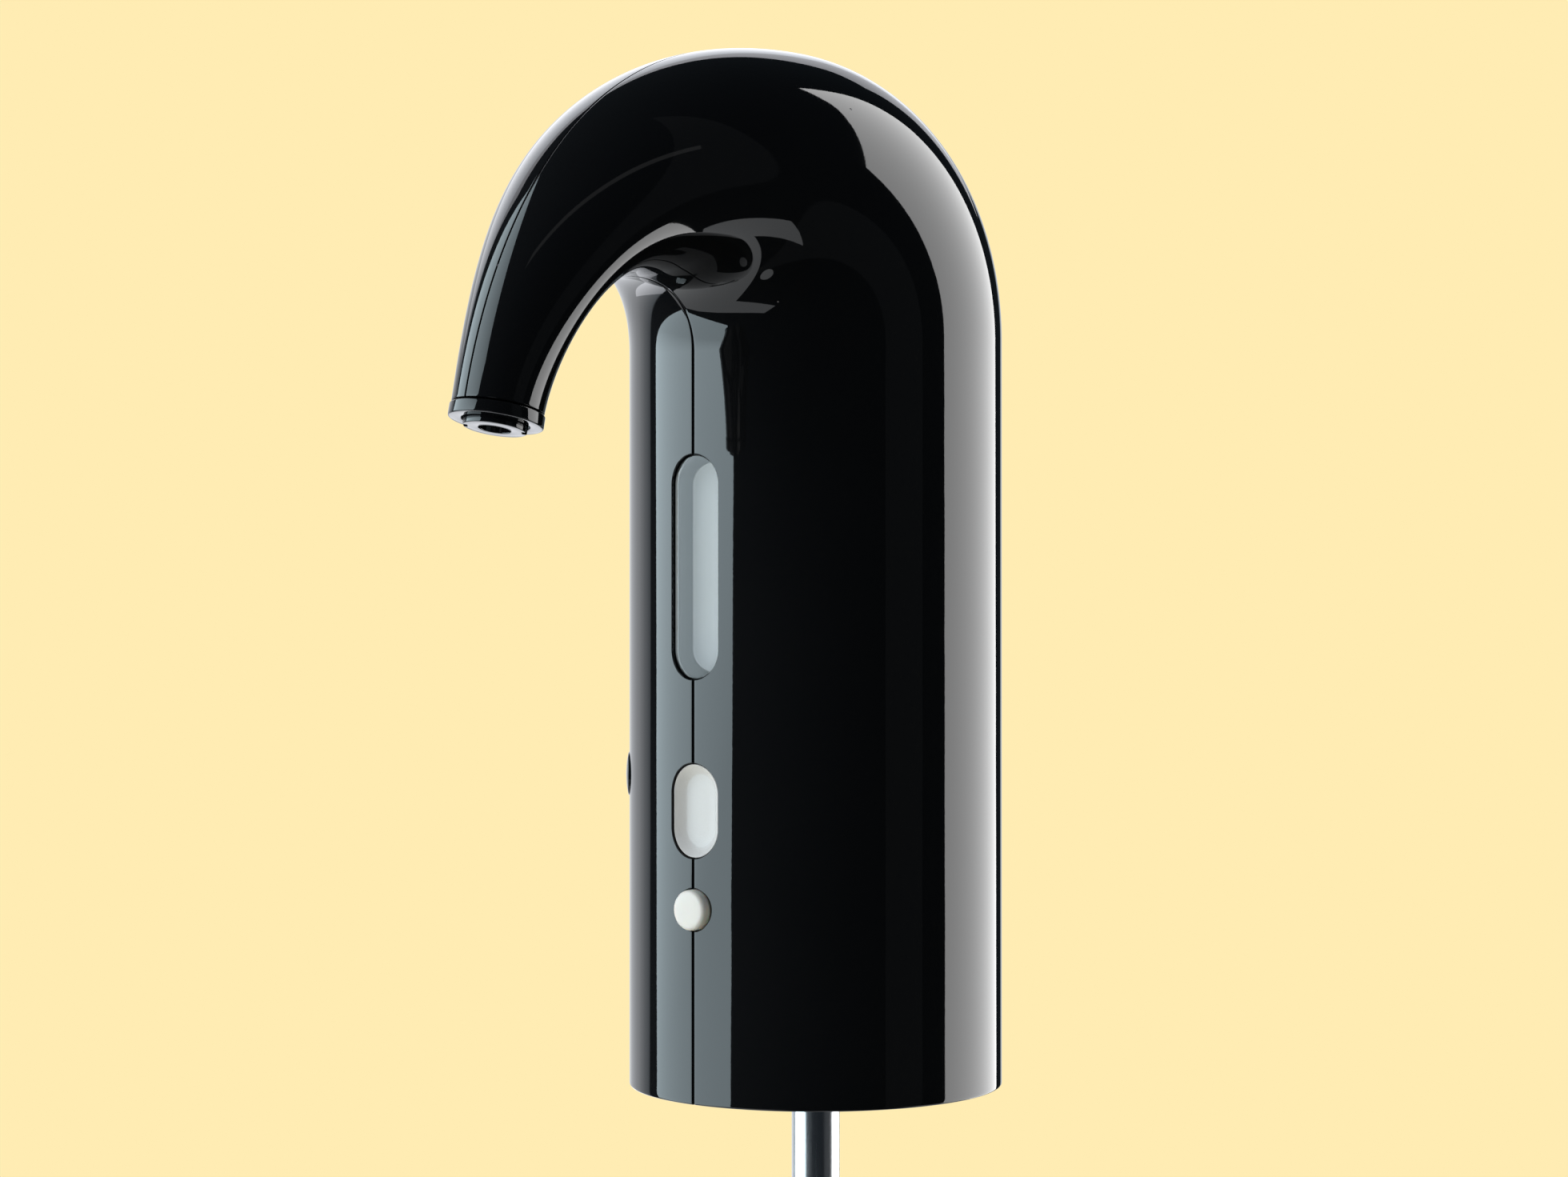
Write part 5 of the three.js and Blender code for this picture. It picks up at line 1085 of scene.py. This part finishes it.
def barb(name, radius, low, high, x, y):
    """A hose barb with two steps."""
    step, tooth = (high - low) / 4, 0.15
    line = [(0, low), (radius, low, 0), (radius, low + step, 0), (radius + tooth, low + step), (radius, low + 2 * step),
            (radius, low + 3 * step, 0), (radius + tooth, low + 3 * step), (radius - tooth, high), (0, high)]
    return moved(turned(name, line, 0.06, 48), Matrix.Translation((x, y, 0)))


# The manifold stands on its core. Arms carry its barbs to the air hose, the wine hose and the release valve
AIR_ARM, WINE_AWAY = 101.0, -12
ARM_TOP, ARM_SIDE = 61.7, 3.4
BARB_LOW, BARB_TOP = 61.4, 68
WINE_DUCT, AIR_DUCT = 1.6, 1.2
air_barb = polar(AIR_ARM, 13.3)
manifold = turned("manifold", [
    (0, 12), (6.6, 12, 0.4), (6.6, 47, 0.1), (9.4, 47, 0.3), (9.4, 62, 0.4), (0, 62)], 0.2, 96)
wine_arm = block("wine_arm", -ARM_SIDE, ARM_SIDE, -15.4, 0, 55.3, ARM_TOP, 0.5)
air_arm = moved(block("air_arm", 0, 16.7, -ARM_SIDE, ARM_SIDE, 47.3, ARM_TOP, 0.5), about_z(AIR_ARM))
joined(manifold, wine_arm, air_arm, moved(rod("valve_arm", ARM_SIDE, 0, 12.8, edge=0.2), ALONG_SIDE),
       barb("wine_barb", 1.95, BARB_LOW, BARB_TOP, 0, WINE_AWAY), barb("air_barb", 1.2, BARB_LOW, BARB_TOP, *air_barb))
air_duct = moved(rod("air_duct", AIR_DUCT, 0, 13.3),
                 lifted(SIDE_CENTRE) @ about_z(AIR_ARM) @ Matrix.Rotation(math.pi / 2, 4, "Y"))
cut(manifold, rod("bore", 5, -4, 53.6), rod("seat", 5.7, 53.3, 56.0), rod("top_seat", 4.2, 53.6, 56.6),
    rod("wine_up", 3.5, 53.6, 60.6), moved(rod("wine_on", WINE_DUCT, 0, 12), lifted(59) @ TO_FRONT),
    rod("wine_out", WINE_DUCT, 59, 72, 0, WINE_AWAY), air_duct, rod("air_up", 0.6, SIDE_CENTRE, 72, *air_barb),
    moved(rod("valve_duct", AIR_DUCT, 0, 31), ALONG_SIDE))
finished(manifold, "black_plastic")

# The dip tube's two sections, as inner and outer radius, bottom and top
UPPER, LOWER = (3.5, 4, -133.7, 56.3), (2.8, 3.3, -139.9, 10.1)


def pipe(name, bore, radius, low, high, edge):
    return turned(name, [(bore, low), (radius, low), (radius, high), (bore, high)], edge, 96)


finished(pipe("tube_seal", 4.1, 5.5, 53.6, 55.8, 0.35), "dark_silicone")
finished(pipe("dip_tube_upper", *UPPER, 0.15), "steel")
finished(turned("dip_tube_ring", [
    (3.5, -134.8), (4.8, -134.8), (4.8, -132.4, 0.3), (4.55, -132.0, 0.2), (4.55, -129.8, 0.2), (4.8, -129.4, 0.3),
    (4.8, -127), (4.2, -127), (4.2, -134), (3.5, -134)], 0.15, 96), "black_plastic")
finished(pipe("dip_tube_lower", *LOWER, 0.12), "steel", "sliding_tube")
foot = turned("dip_tube_foot", [
    (2.8, -144.4), (4.2, -144.4), (4.8, -143.8), (4.8, -135.4), (3.5, -135.4), (3.5, -140.2), (2.8, -140.2)], 0.15, 96)
for turn in (0, 90):
    cut(foot, moved(block("slot", -8, 8, -0.7, 0.7, -150, -140.4, 0.2), about_z(turn)))
finished(foot, "black_plastic", "sliding_tube")
screws("base_screws", [(x, y, 1.2) for x, y in BASE_SCREWS], (0, 0, 1), 16.0)

# ---- Hoses and leads ------------------------------------------------------------------------

PUMP = polar(23, 15.3)
CELL = polar(164.5, 17.95)
AIR_DROP = polar(AIR_ARM, 19.8)
CELL_TOP, CAP_TOP = 129.8, 118.7
BOARD_END = BOARD_BACK + FIT
LEAD, BEND = 0.7, 2.8
FLOOR_LEVEL = 59.7
PAD, CELL_PAD, BATTERY_PAD = 10.6, -8, -4.8
MOTOR_TAB, CELL_TAB = 9.15, 4.625
HOSE, HOSE_BORE = 2.2, 1.5


def line_point(segments, share, steps=400):
    """The forward place and the height at a share of a profile line's length."""
    line = []
    for a, b, c, d in segments:
        for k in range(steps + 1):
            t = k / steps
            weights = ((1 - t) ** 3, 3 * t * (1 - t) ** 2, 3 * t * t * (1 - t), t ** 3)
            line.append([sum(w * q[axis] for w, q in zip(weights, (a, b, c, d))) for axis in (0, 1)])
    line = np.array(line)
    gone = np.concatenate([[0], np.cumsum(np.linalg.norm(np.diff(line, axis=0), axis=1))])
    return np.array([np.interp(share * gone[-1], gone, line[:, axis]) for axis in (0, 1)])


def wine_route():
    """Up the front of the body, over the middle of the hook and down the spout to the nozzle."""
    bend_start, route = 120.2, []
    for share in (0.5, 0.6, 0.7, 0.8):
        forward, height = (line_point(BACK_LINE, share) + line_point(THROAT_LINE, share ** THROAT_PAIRING)) / 2
        route.append((0, -forward, height))
    over, turn = route[0], math.pi / 4
    shoulder = (0, WINE_AWAY + (over[1] - WINE_AWAY) * (1 - math.cos(turn)),
                bend_start + (over[2] - bend_start) * math.sin(turn))
    start = [(0, WINE_AWAY, height) for height in (62.3, 91.25, bend_start)]
    return [*start, shoulder, *route, *(tuple(AT_SPOUT_END @ Vector((0, 0, back))) for back in (13.5, 9, 4.5, 0.3))]


def floor_route(x, y, pad, clear, drop=0.0):
    """From a hole in the chassis floor forward to the back of the board."""
    level = FLOOR_LEVEL - drop
    return [(x, y, 64.5), (x, y, 62.5), (x, y - BEND / 2, level), (clear, (y + BOARD_END) / 2, level),
            ((clear + pad) / 2, BOARD_END + BEND, level), (pad, BOARD_END + BEND / 2, level), (pad, BOARD_END, level)]


def charge_route():
    """Round the cup from the charging board to the foot of the main board."""
    start, level = (3.75, 22.0, 40.3), 42.8
    first, last = (math.degrees(math.atan2(y, x)) for x, y in (start[:2], (PAD, BOARD_END)))
    arc = [(*polar(first + (last - first) * share, 24.0), level) for share in (1 / 8, 1 / 4, 1 / 2, 3 / 4, 7 / 8)]
    return [start, (*start[:2], level - BEND / 2), *arc, (PAD, BOARD_END + BEND, level), (PAD, BOARD_END, level)]


UPPER_AIR = [(*PUMP, 119), (*PUMP, 122), (*PUMP, 125)] + [
    (*(p * (1 - share) + a * share for p, a in zip(PUMP, AIR_DROP)), 131) for share in (0.25, 0.75)] + [
    (*AIR_DROP, height) for height in (122, 115, 109.3)]
LOWER_AIR = [(*AIR_DROP, 95.7), (*AIR_DROP, 89.7)] + [(*air_barb, height) for height in (74.3, 68.3, 65.3, 62.3)]
BATTERY = [(*CELL, 130.1), (*CELL, 132.6), ((CELL[0] + BATTERY_PAD) / 2, (CELL[1] + BOARD_END) / 2, CELL_TOP)] + [
    (BATTERY_PAD, BOARD_END + back, height) for back, height in ((2 * BEND, 107.8), (BEND, 105), (0, 105))]
FLOOR_CLEAR = LEGS[2][0] + 4.4
# Each tube's route, radius, bore and finish
TUBES = {
    "wine_hose": (wine_route(), 3.5, 2.4, "clear_silicone"),
    "upper_air_hose": (UPPER_AIR, HOSE, HOSE_BORE, "clear_silicone"),
    "lower_air_hose": (LOWER_AIR, HOSE, HOSE_BORE, "clear_silicone"),
    "battery_lead": (BATTERY, LEAD, 0, "red_lead"),
    "battery_return_lead": (floor_route(CELL[0], CELL[1] - CELL_TAB, CELL_PAD, CELL[0]), LEAD, 0, "black_lead"),
    "motor_lead": (floor_route(PUMP[0], PUMP[1] - MOTOR_TAB, PAD, FLOOR_CLEAR), LEAD, 0, "red_lead"),
    "motor_return_lead": (floor_route(PUMP[0] + BEND, PUMP[1] - MOTOR_TAB, PAD, FLOOR_CLEAR, BEND), LEAD, 0,
                          "black_lead"),
    "charge_lead": (charge_route(), LEAD, 0, "red_lead"),
}
for node, (route, radius, bore, finish) in TUBES.items():
    finished(along_path(node, smooth_path(route), radius, finish, 32 if bore else 16, bore), finish, sharp=50)


# ---- Boards, switches and socket ------------------------------------------------------------

def eased(node, finish, edge):
    """A solid of the frame, merged, with its sharp edges rounded."""
    made = linked(node + "_eased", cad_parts[node].data.copy())
    mesh = bmesh.new()
    mesh.from_mesh(made.data)
    mesh.transform(Matrix.Scale(1 / MM, 4))
    bmesh.ops.remove_doubles(mesh, verts=mesh.verts, dist=1e-3)
    bmesh.ops.dissolve_limit(mesh, angle_limit=math.radians(1), verts=mesh.verts, edges=mesh.edges)
    bmesh.ops.recalc_face_normals(mesh, faces=mesh.faces)
    mesh.to_mesh(made.data)
    mesh.free()
    finished(bevelled(made, edge, 2, 35), finish, nodes=[node], sharp=32)


def fitted_board(node, half_width, y0, y1, z0, z1, holes, extras=()):
    board = block(node, -half_width, half_width, y0, y1, z0, z1, 0.12)
    joined(board, *extras)
    for x, z in holes:
        cut(board, moved(rod("hole", SCREW_HOLE, -y1 - 3, -y0 + 3), Matrix.Translation((x, 0, z)) @ TO_FRONT))
    finished(board, "circuit_board")


def small_parts(name, low, high, plane, blocked, seed, share, gap=3.0):
    """Chip parts at a share of the places of a grid on a board's face, clear of what already stands on it."""
    places = []
    for row in range(round((high[1] - low[1]) / gap)):
        for column in range(round((high[0] - low[0]) / gap)):
            x, z = low[0] + gap * (column + 0.5), low[1] + gap * (row + 0.5)
            if all(abs(x - bx) > wide or abs(z - bz) > tall for bx, bz, wide, tall in blocked):
                places.append((x, plane, z))
    made = mesh_object(name, places)
    run_tree(made, BOARD_PARTS, {"Seed": seed, "Share": share, "Finish": FINISH["ivory"]})
    dressed(made, "ivory", "housing")


CHIP = (0, 55.85, 7.5, 4.5)
BOARD_SCREWS = [(-10, 105), (10, 68.5)]
TAKEN = [CHIP, (0, BUTTON_CENTRE, 4.6, 4.6), (0, POWER_CENTRE, 4.6, 4.6), (0, WINDOW_CENTRE, 4.4, 19.4)] + [
    (x, z, 3.4, 3.4) for x, z in BOARD_SCREWS]
fitted_board("main_board", 12, BOARD_FRONT, BOARD_BACK, 22, 109, BOARD_SCREWS,
             [block("chip", -6, 6, BOARD_FRONT - 0.8, BOARD_FRONT + 0.3, 52.85, 58.85, 0.15)])
small_parts("main_board_parts", (-11, 24), (11, 108), BOARD_FRONT - 0.25, TAKEN, 7, 0.6)
fitted_board("charge_board", 7.5, 21.2, 22.8, 9.5, 40, [])
small_parts("charge_board_parts", (-7, 21), (7, 39), 20.95, [], 11, 0.55)

for node, height in (("main_switch", BUTTON_CENTRE), ("power_switch", POWER_CENTRE)):
    body = block(node, -3, 3, -25.113, -22.613, height - 3, height + 3, 0.2)
    nub = moved(turned("nub", [(0, 24.8), (1.6, 24.8), (1.6, 25.713), (0, 25.713)], 0.15, 48),
                Matrix.Translation((0, 0, height)) @ TO_FRONT)
    finished(joined(body, nub), "black_plastic")


def charge_socket():
    """The stamped steel shell of the charging socket, round its tongue, facing forward."""
    size, wall, low, high = (8.9, 3.2), 0.4, 23.1, 30.4
    rings = [[(x, -out, z) for x, z in pill_line(*size, grow)] for grow, out in (
        (-0.1, low), (0, low + 0.1), (0, high - 0.12), (-0.12, high), (-wall + 0.1, high), (-wall, high - 0.1),
        (-wall, low + 2 * wall))]
    tongue = block("tongue", -3.2, 3.2, -29.8, -low - wall, -0.35, 0.35, 0.12)
    return joined(ring_skin("charge_socket", rings), tongue)


finished(charge_socket(), "steel", at=lifted(SOCKET_CENTRE) @ Matrix.Rotation(math.pi, 4, "Z"))

# ---- Cell and pump --------------------------------------------------------------------------

AT_PUMP = Matrix.Translation((*PUMP, 0))
AT_CELL = Matrix.Translation((*CELL, 0))
AT_VALVE = Matrix.Translation((*AIR_DROP, 0))
PUMP_SCREWS = [polar(angle, 11.8) for angle in (60, 180, 300)]
CUPS = [polar(angle, 6.4) for angle in (0, 120, 240)]


def on_pump(thing, finish, body="housing"):
    finished(thing, finish, body, at=AT_PUMP)


cell = turned("battery_cell", [
    (0, 64.8, 0), (8.9, 64.8), (9.25, 65.4), (9.25, 128.6), (8.95, 129.0), (7.2, 129.0), (6.9, 128.7), (5.2, 128.7),
    (3, 129.0), (3, CELL_TOP), (0, CELL_TOP)], 0.3, 128)
finished(cell, "cell_wrap", at=AT_CELL)

on_pump(turned("pump_motor", [
    (0, 64.8), (11.2, 64.8), (12.2, 65.8), (12.2, 92.6), (11.95, 92.8), (11.95, 93.2), (12.2, 93.4), (12.2, 95.5),
    (3, 95.5), (3, 96.5), (1.3, 96.5), (1.3, 87.2), (0, 87.2)], 0.25, 128), "steel")
on_pump(turned("pump_sleeve", [(12.5, 64.8), (13.4, 64.8), (13.4, 88.8), (12.5, 88.8)], 0.3, 128), "dark_silicone")
on_pump(rod("motor_shaft", 1.0, 87.5, 101.4, edge=0.15), "steel", "rotor")
crank = joined(rod("pump_crank", 5, 98, 101.7, edge=0.3, sides=96), rod("pin", 0.8, 101.4, 104.3, 2.2, 0, 0.2))
on_pump(cut(crank, rod("hole", 1.2, 90, 101.5)), "black_plastic", "rotor")

case = turned("pump_case", [
    (3.3, 95.8), (13.4, 95.8), (13.4, 108.3), (10.2, 108.3), (10.2, 97.3), (3.3, 97.3)], 0.3, 128)
inlet = block("inlet", -16, -9, -1.2, 1.2, 98.8, 100.3)
on_pump(cut(case, inlet, *at_each(PUMP_SCREWS, "hole", SCREW_HOLE, 97.3, 110)), "black_plastic")

plate = turned("valve_plate", [(0, 110.4), (13.4, 110.4), (13.4, 112.4), (0, 112.4)], 0.25, 128)
on_pump(cut(plate, *at_each(CUPS, "port", 1.2, 108, 114, sides=24),
            *at_each(PUMP_SCREWS, "hole", SCREW_HOLE, 108, 114)), "black_plastic")
disc = turned("pump_diaphragm", [(0, 108.6), (13.1, 108.6), (13.1, 110.1), (0, 110.1)], 0.2, 128)
joined(disc, *at_each(CUPS, "cup", 2.9, 103.7, 109.3, 0.3))
on_pump(cut(disc, *at_each(CUPS, "hollow", 2.3, 104.3, 112),
            *at_each(PUMP_SCREWS, "hole", SCREW_HOLE, 106, 112)), "dark_silicone")
cap = turned("pump_cap", [
    (0.6, 116.7), (8, 116.7), (8, 112.7), (13.4, 112.7), (13.4, 117.7), (12.4, CAP_TOP), (1.2, CAP_TOP, 0.3),
    (1.2, 119.9, 0), (1.35, 119.9), (1.1, 121.7), (0.6, 121.7)], 0.15, 128)
on_pump(cut(cap, *at_each(PUMP_SCREWS, "hole", SCREW_HOLE, 110, 122),
            *at_each(PUMP_SCREWS, "sink", SCREW_SINK, 117.4, 122)), "black_plastic")
valve_line = [(0.6, 93), (1.1, 93), (1.35, 94.8), (1.2, 94.8, 0), (1.2, 96, 0), (3.4, 96), (3.6, 96.3), (3.6, 102.1),
              (3.4, 102.3), (3.4, 102.7), (3.6, 102.9), (3.6, 108.7), (3.4, 109), (1.2, 109, 0), (1.2, 110.2, 0),
              (1.35, 110.2), (1.1, 112), (0.6, 112)]
finished(turned("check_valve", valve_line, 0.12, 64), "black_plastic", at=AT_VALVE)

eased("chassis", "black_plastic", 0.25)
eased("wobble_plate", "black_plastic", 0.2)

screws("chassis_screws", [(x, y, 58.2) for x, y in LEGS], (0, 0, -1), 12.0)
screws("board_screws", [(x, BOARD_FRONT - 1.6, z) for x, z in BOARD_SCREWS], (0, 1, 0), 5.0)
screws("pump_screws", [(PUMP[0] + x, PUMP[1] + y, CAP_TOP + 0.1) for x, y in PUMP_SCREWS], (0, 0, -1), 16.0)

# ---- Stage, lamps and camera ----------------------------------------------------------------

CAMERA_TURN = math.radians(39.1)
CAMERA_DISTANCE = 0.5366
CAMERA_HEIGHT = 0.0824
TO_CAMERA = Vector((math.sin(CAMERA_TURN), -math.cos(CAMERA_TURN), 0))
TO_RIGHT = Vector((math.cos(CAMERA_TURN), math.sin(CAMERA_TURN), 0))

camera = linked("camera", bpy.data.cameras.new("camera"))
camera.data.sensor_width = 36.0
camera.data.lens = 73.84
camera.data.shift_x = -0.0202
camera.data.shift_y = -0.0003
camera.data.clip_start = 0.01
camera.location = TO_CAMERA * CAMERA_DISTANCE + Vector((0, 0, CAMERA_HEIGHT))
camera.rotation_euler = (math.pi / 2, 0, CAMERA_TURN)
bpy.context.scene.camera = camera

LAMP_LEVEL = 0.1
WHITE, COOL, PALE = (1.0, 1.0, 1.0), (0.77, 0.93, 1.0), (0.93, 0.94, 1.0)


def panel(name, facing, distance, span, low, high, shine=0.0, fill=0.0, tint=WHITE, tilt=0.0, roll=0.0):
    """A soft lamp, square to an angle from the camera's side, positive to its right, and to a tilt upwards.

    It spans a stretch across that line and one up it. Its shine is what glossy surfaces mirror, its fill
    what matt ones receive.
    """
    facing_way = Matrix.Rotation(math.radians(facing) + CAMERA_TURN, 4, "Z") @ Matrix.Rotation(math.pi / 2, 4, "X")
    leaning = Matrix.Rotation(-tilt, 4, "X") @ Matrix.Rotation(roll, 4, "Z")
    middle = Matrix.Translation((sum(span) / 2, (low + high) / 2, distance))
    width, height = span[1] - span[0], high - low
    for part, radiance, colour in (("shine", shine, tint), ("fill", fill, WHITE)):
        if not radiance:
            continue
        data = bpy.data.lights.new(f"{name}_{part}", "AREA")
        data.shape = "RECTANGLE"
        data.size = width
        data.size_y = height
        data.energy = radiance * math.pi * width * height
        data.color = colour
        lamp = linked(data.name, data)
        lamp.matrix_world = Matrix.Translation((0, 0, LAMP_LEVEL)) @ facing_way @ leaning @ middle
        lamp.visible_camera = False
        lamp.visible_glossy = part == "shine"
        lamp.visible_diffuse = lamp.visible_transmission = part == "fill"


def fade_up(lamp, low, high, dark_foot, dark_top):
    """Makes a lamp brighten up to a height of its face, and darken to its top, as shares of the face."""
    lamp.data.use_nodes = True
    w = Wiring(lamp.data.node_tree)
    height = w.axis(w.result("ShaderNodeNewGeometry", output="Parametric"), 1)
    rise = w.mapped(height, low, high, dark_foot, 1.0)
    w.feed(node_of(w.tree, "EMISSION").inputs["Strength"], rise - w.mapped(height, high, 1.0, 0.0, 1.0 - dark_top))


panel("left_panel", -112.6, 0.951, (-0.029, 1.77), -1.361, 0.763, 5.4, 4.2, COOL, tilt=0.184, roll=0.063)
fade_up(bpy.data.objects["left_panel_shine"], 0.44, 0.61, 0.72, 0.45)
panel("right_panel", 157.3, 0.785, (-2.435, -0.172), -0.877, 1.398, 3.85, 0.9, roll=0.142)
panel("rear_upper_panel", -166, 0.9, (-0.7, 0.7), 0.3, 0.86, 1.0, tint=PALE)
panel("rear_low_panel", -163, 0.9, (-0.18, 0.18), -0.69, -0.29, 1.0, tint=PALE)
panel("rear_left_panel", -146, 0.9, (-0.25, 0.25), -0.4, 0.5, fill=1.0)
panel("front_rail", 8, 1.0, (-0.95, 0.95), 1.33, 1.5, 0.2)

# Floor and boards. The floor lies low enough for the dip tube to slide out over it
TUBE_TRAVEL = 0.095
BOARD_HEIGHT = solid_box[0][2] - 0.0006
FLOOR_HEIGHT = solid_box[0][2] - TUBE_TRAVEL - 0.001
FLOOR_RADIUS, FLOOR_SIDES = 0.62, 96
FLOOR_FADE = (0.32, 0.64)
FLOOR_GLOW = 0.38
FLOOR_CREAM, FLOOR_SHADE = (0.86, 0.74, 0.42, 1.0), (0.8, 0.68, 0.38, 1.0)
BOARD_WHITES = ((0.9, 0.95, 1.0, 1.0), (0.98, 0.99, 1.0, 1.0))
PAPER_ROUGHNESS = 0.9


def floor_finish():
    """A cream paper floor whose rim fades out, open from below. Glossy surfaces mirror the boards on it instead."""
    material, w, surface = new_material("cream_paper")
    fibre = w.result("ShaderNodeTexNoise", {"Vector": w.place(), "Scale": 900.0, "Detail": 3.0})
    w.feed(surface["Base Color"], w.mixed(w.mapped(fibre, 0.35, 0.65, 0.0, 0.35), FLOOR_CREAM, FLOOR_SHADE))
    surface["Roughness"].default_value = PAPER_ROUGHNESS
    seen = w.node("ShaderNodeLightPath").outputs
    below = w.result("ShaderNodeNewGeometry", output="Backfacing")
    shown = 1.0 - w.math("MAXIMUM", seen["Is Glossy Ray"], below)
    away = w.vector("LENGTH", w.place(), output="Value")
    w.feed(surface["Alpha"], w.mapped(away, *FLOOR_FADE, 1.0, 0.0) * shown)
    surface["Emission Color"].default_value = FLOOR_CREAM
    w.feed(surface["Emission Strength"], w.math("MULTIPLY", seen["Is Camera Ray"], FLOOR_GLOW))
    return material


def board_finish():
    """White boards that only glossy surfaces mirror."""
    material, w, surface = new_material("white_board")
    fibre = w.result("ShaderNodeTexNoise", {"Vector": w.place(), "Scale": 30.0, "Detail": 2.0})
    w.feed(surface["Emission Color"], w.mixed(fibre, *BOARD_WHITES))
    surface["Base Color"].default_value = (0.05, 0.05, 0.05, 1.0)
    surface["Roughness"].default_value = PAPER_ROUGHNESS
    surface["Emission Strength"].default_value = 1.0
    w.feed(surface["Alpha"], w.result("ShaderNodeLightPath", output="Is Glossy Ray"))
    return material


def round_outline(middle, radius, sides):
    angles = [2 * math.pi * k / sides for k in range(sides)]
    return [(middle[0] + radius * math.cos(angle), middle[1] + radius * math.sin(angle)) for angle in angles]


def staged(name, corners, finish):
    """A flat face of the stage, from its corners."""
    made = mesh_object(name, corners, [tuple(range(len(corners)))])
    made.data.materials.append(finish)


staged("floor", [(x, y, FLOOR_HEIGHT) for x, y in round_outline((0, 0), FLOOR_RADIUS, FLOOR_SIDES)], floor_finish())

# Each board in metres to the camera's right and towards it
BOARDS = [
    [(-0.262, 0.02), (-0.24, -0.11), (-0.15, -0.23), (0.06, -0.23), (0.235, -0.07), (0.33, 0.15), (0.21, 0.18),
     (0.165, 0.0), (-0.13, 0.115), (-0.095, 0.35), (-0.18, 0.38), (-0.25, 0.12)],
    round_outline((0.025, 0.102), 0.024, 24),
]
for number, outline in enumerate(BOARDS, 1):
    staged(f"board_{number}", [TO_RIGHT * right + TO_CAMERA * toward + Vector((0, 0, BOARD_HEIGHT))
                               for right, toward in outline], board_finish())

# The room. The camera sees cream all round. Glossy surfaces mirror a pale sheet behind the object to the
# left, which darkens to its edge, and a dark room with a slightly lighter stretch at the camera's right
CREAM = (1.0, 0.8388, 0.4508, 1.0)
SHEET_HEADING = math.radians(-160)
SHEET_EDGE, SHEET_FADE = (0.785, 0.8), (0.8, 0.93)
SHEET_GREY, SHEET_WHITE = (0.44, 0.49, 0.54, 1.0), (0.92, 0.95, 1.0, 1.0)
LIGHTER_FROM, LIGHTER_TO = 0.75, 1.19
DARK, LIGHTER = (0.012, 0.016, 0.02, 1.0), (0.045, 0.05, 0.055, 1.0)
ROOM_LIGHT = (0.26, 0.26, 0.27, 1.0)


def room():
    world = bpy.data.worlds.new("room")
    world.use_nodes = True
    world.node_tree.nodes.clear()
    w = Wiring(world.node_tree)
    seen = w.node("ShaderNodeLightPath").outputs
    heading = w.result("ShaderNodeTexCoord", output="Generated")

    def toward(way):
        return w.vector("DOT_PRODUCT", heading, tuple(way), output="Value")

    behind = toward(TO_CAMERA * math.cos(SHEET_HEADING) + TO_RIGHT * math.sin(SHEET_HEADING))
    gloss = w.math("MAXIMUM", seen["Is Glossy Ray"], seen["Is Transmission Ray"])
    shown = w.math("MAXIMUM", seen["Is Camera Ray"], gloss * w.mapped(behind, *SHEET_EDGE))
    turn = w.math("ARCTAN2", toward(TO_RIGHT), toward(TO_CAMERA))
    beside = w.math("GREATER_THAN", turn, LIGHTER_FROM) * w.math("LESS_THAN", turn, LIGHTER_TO)
    around = w.mixed(gloss, ROOM_LIGHT, w.mixed(beside, DARK, LIGHTER))
    sheet = w.mixed(w.mapped(behind, *SHEET_FADE), SHEET_GREY, SHEET_WHITE)
    backdrop = w.mixed(seen["Is Glossy Ray"], CREAM, sheet)
    air = w.result("ShaderNodeBackground", {"Color": w.mixed(shown, around, backdrop), "Strength": 1.0})
    w.node("ShaderNodeOutputWorld", {"Surface": air})
    return world


bpy.context.scene.world = room()
bpy.context.scene.view_settings.view_transform = "Standard"
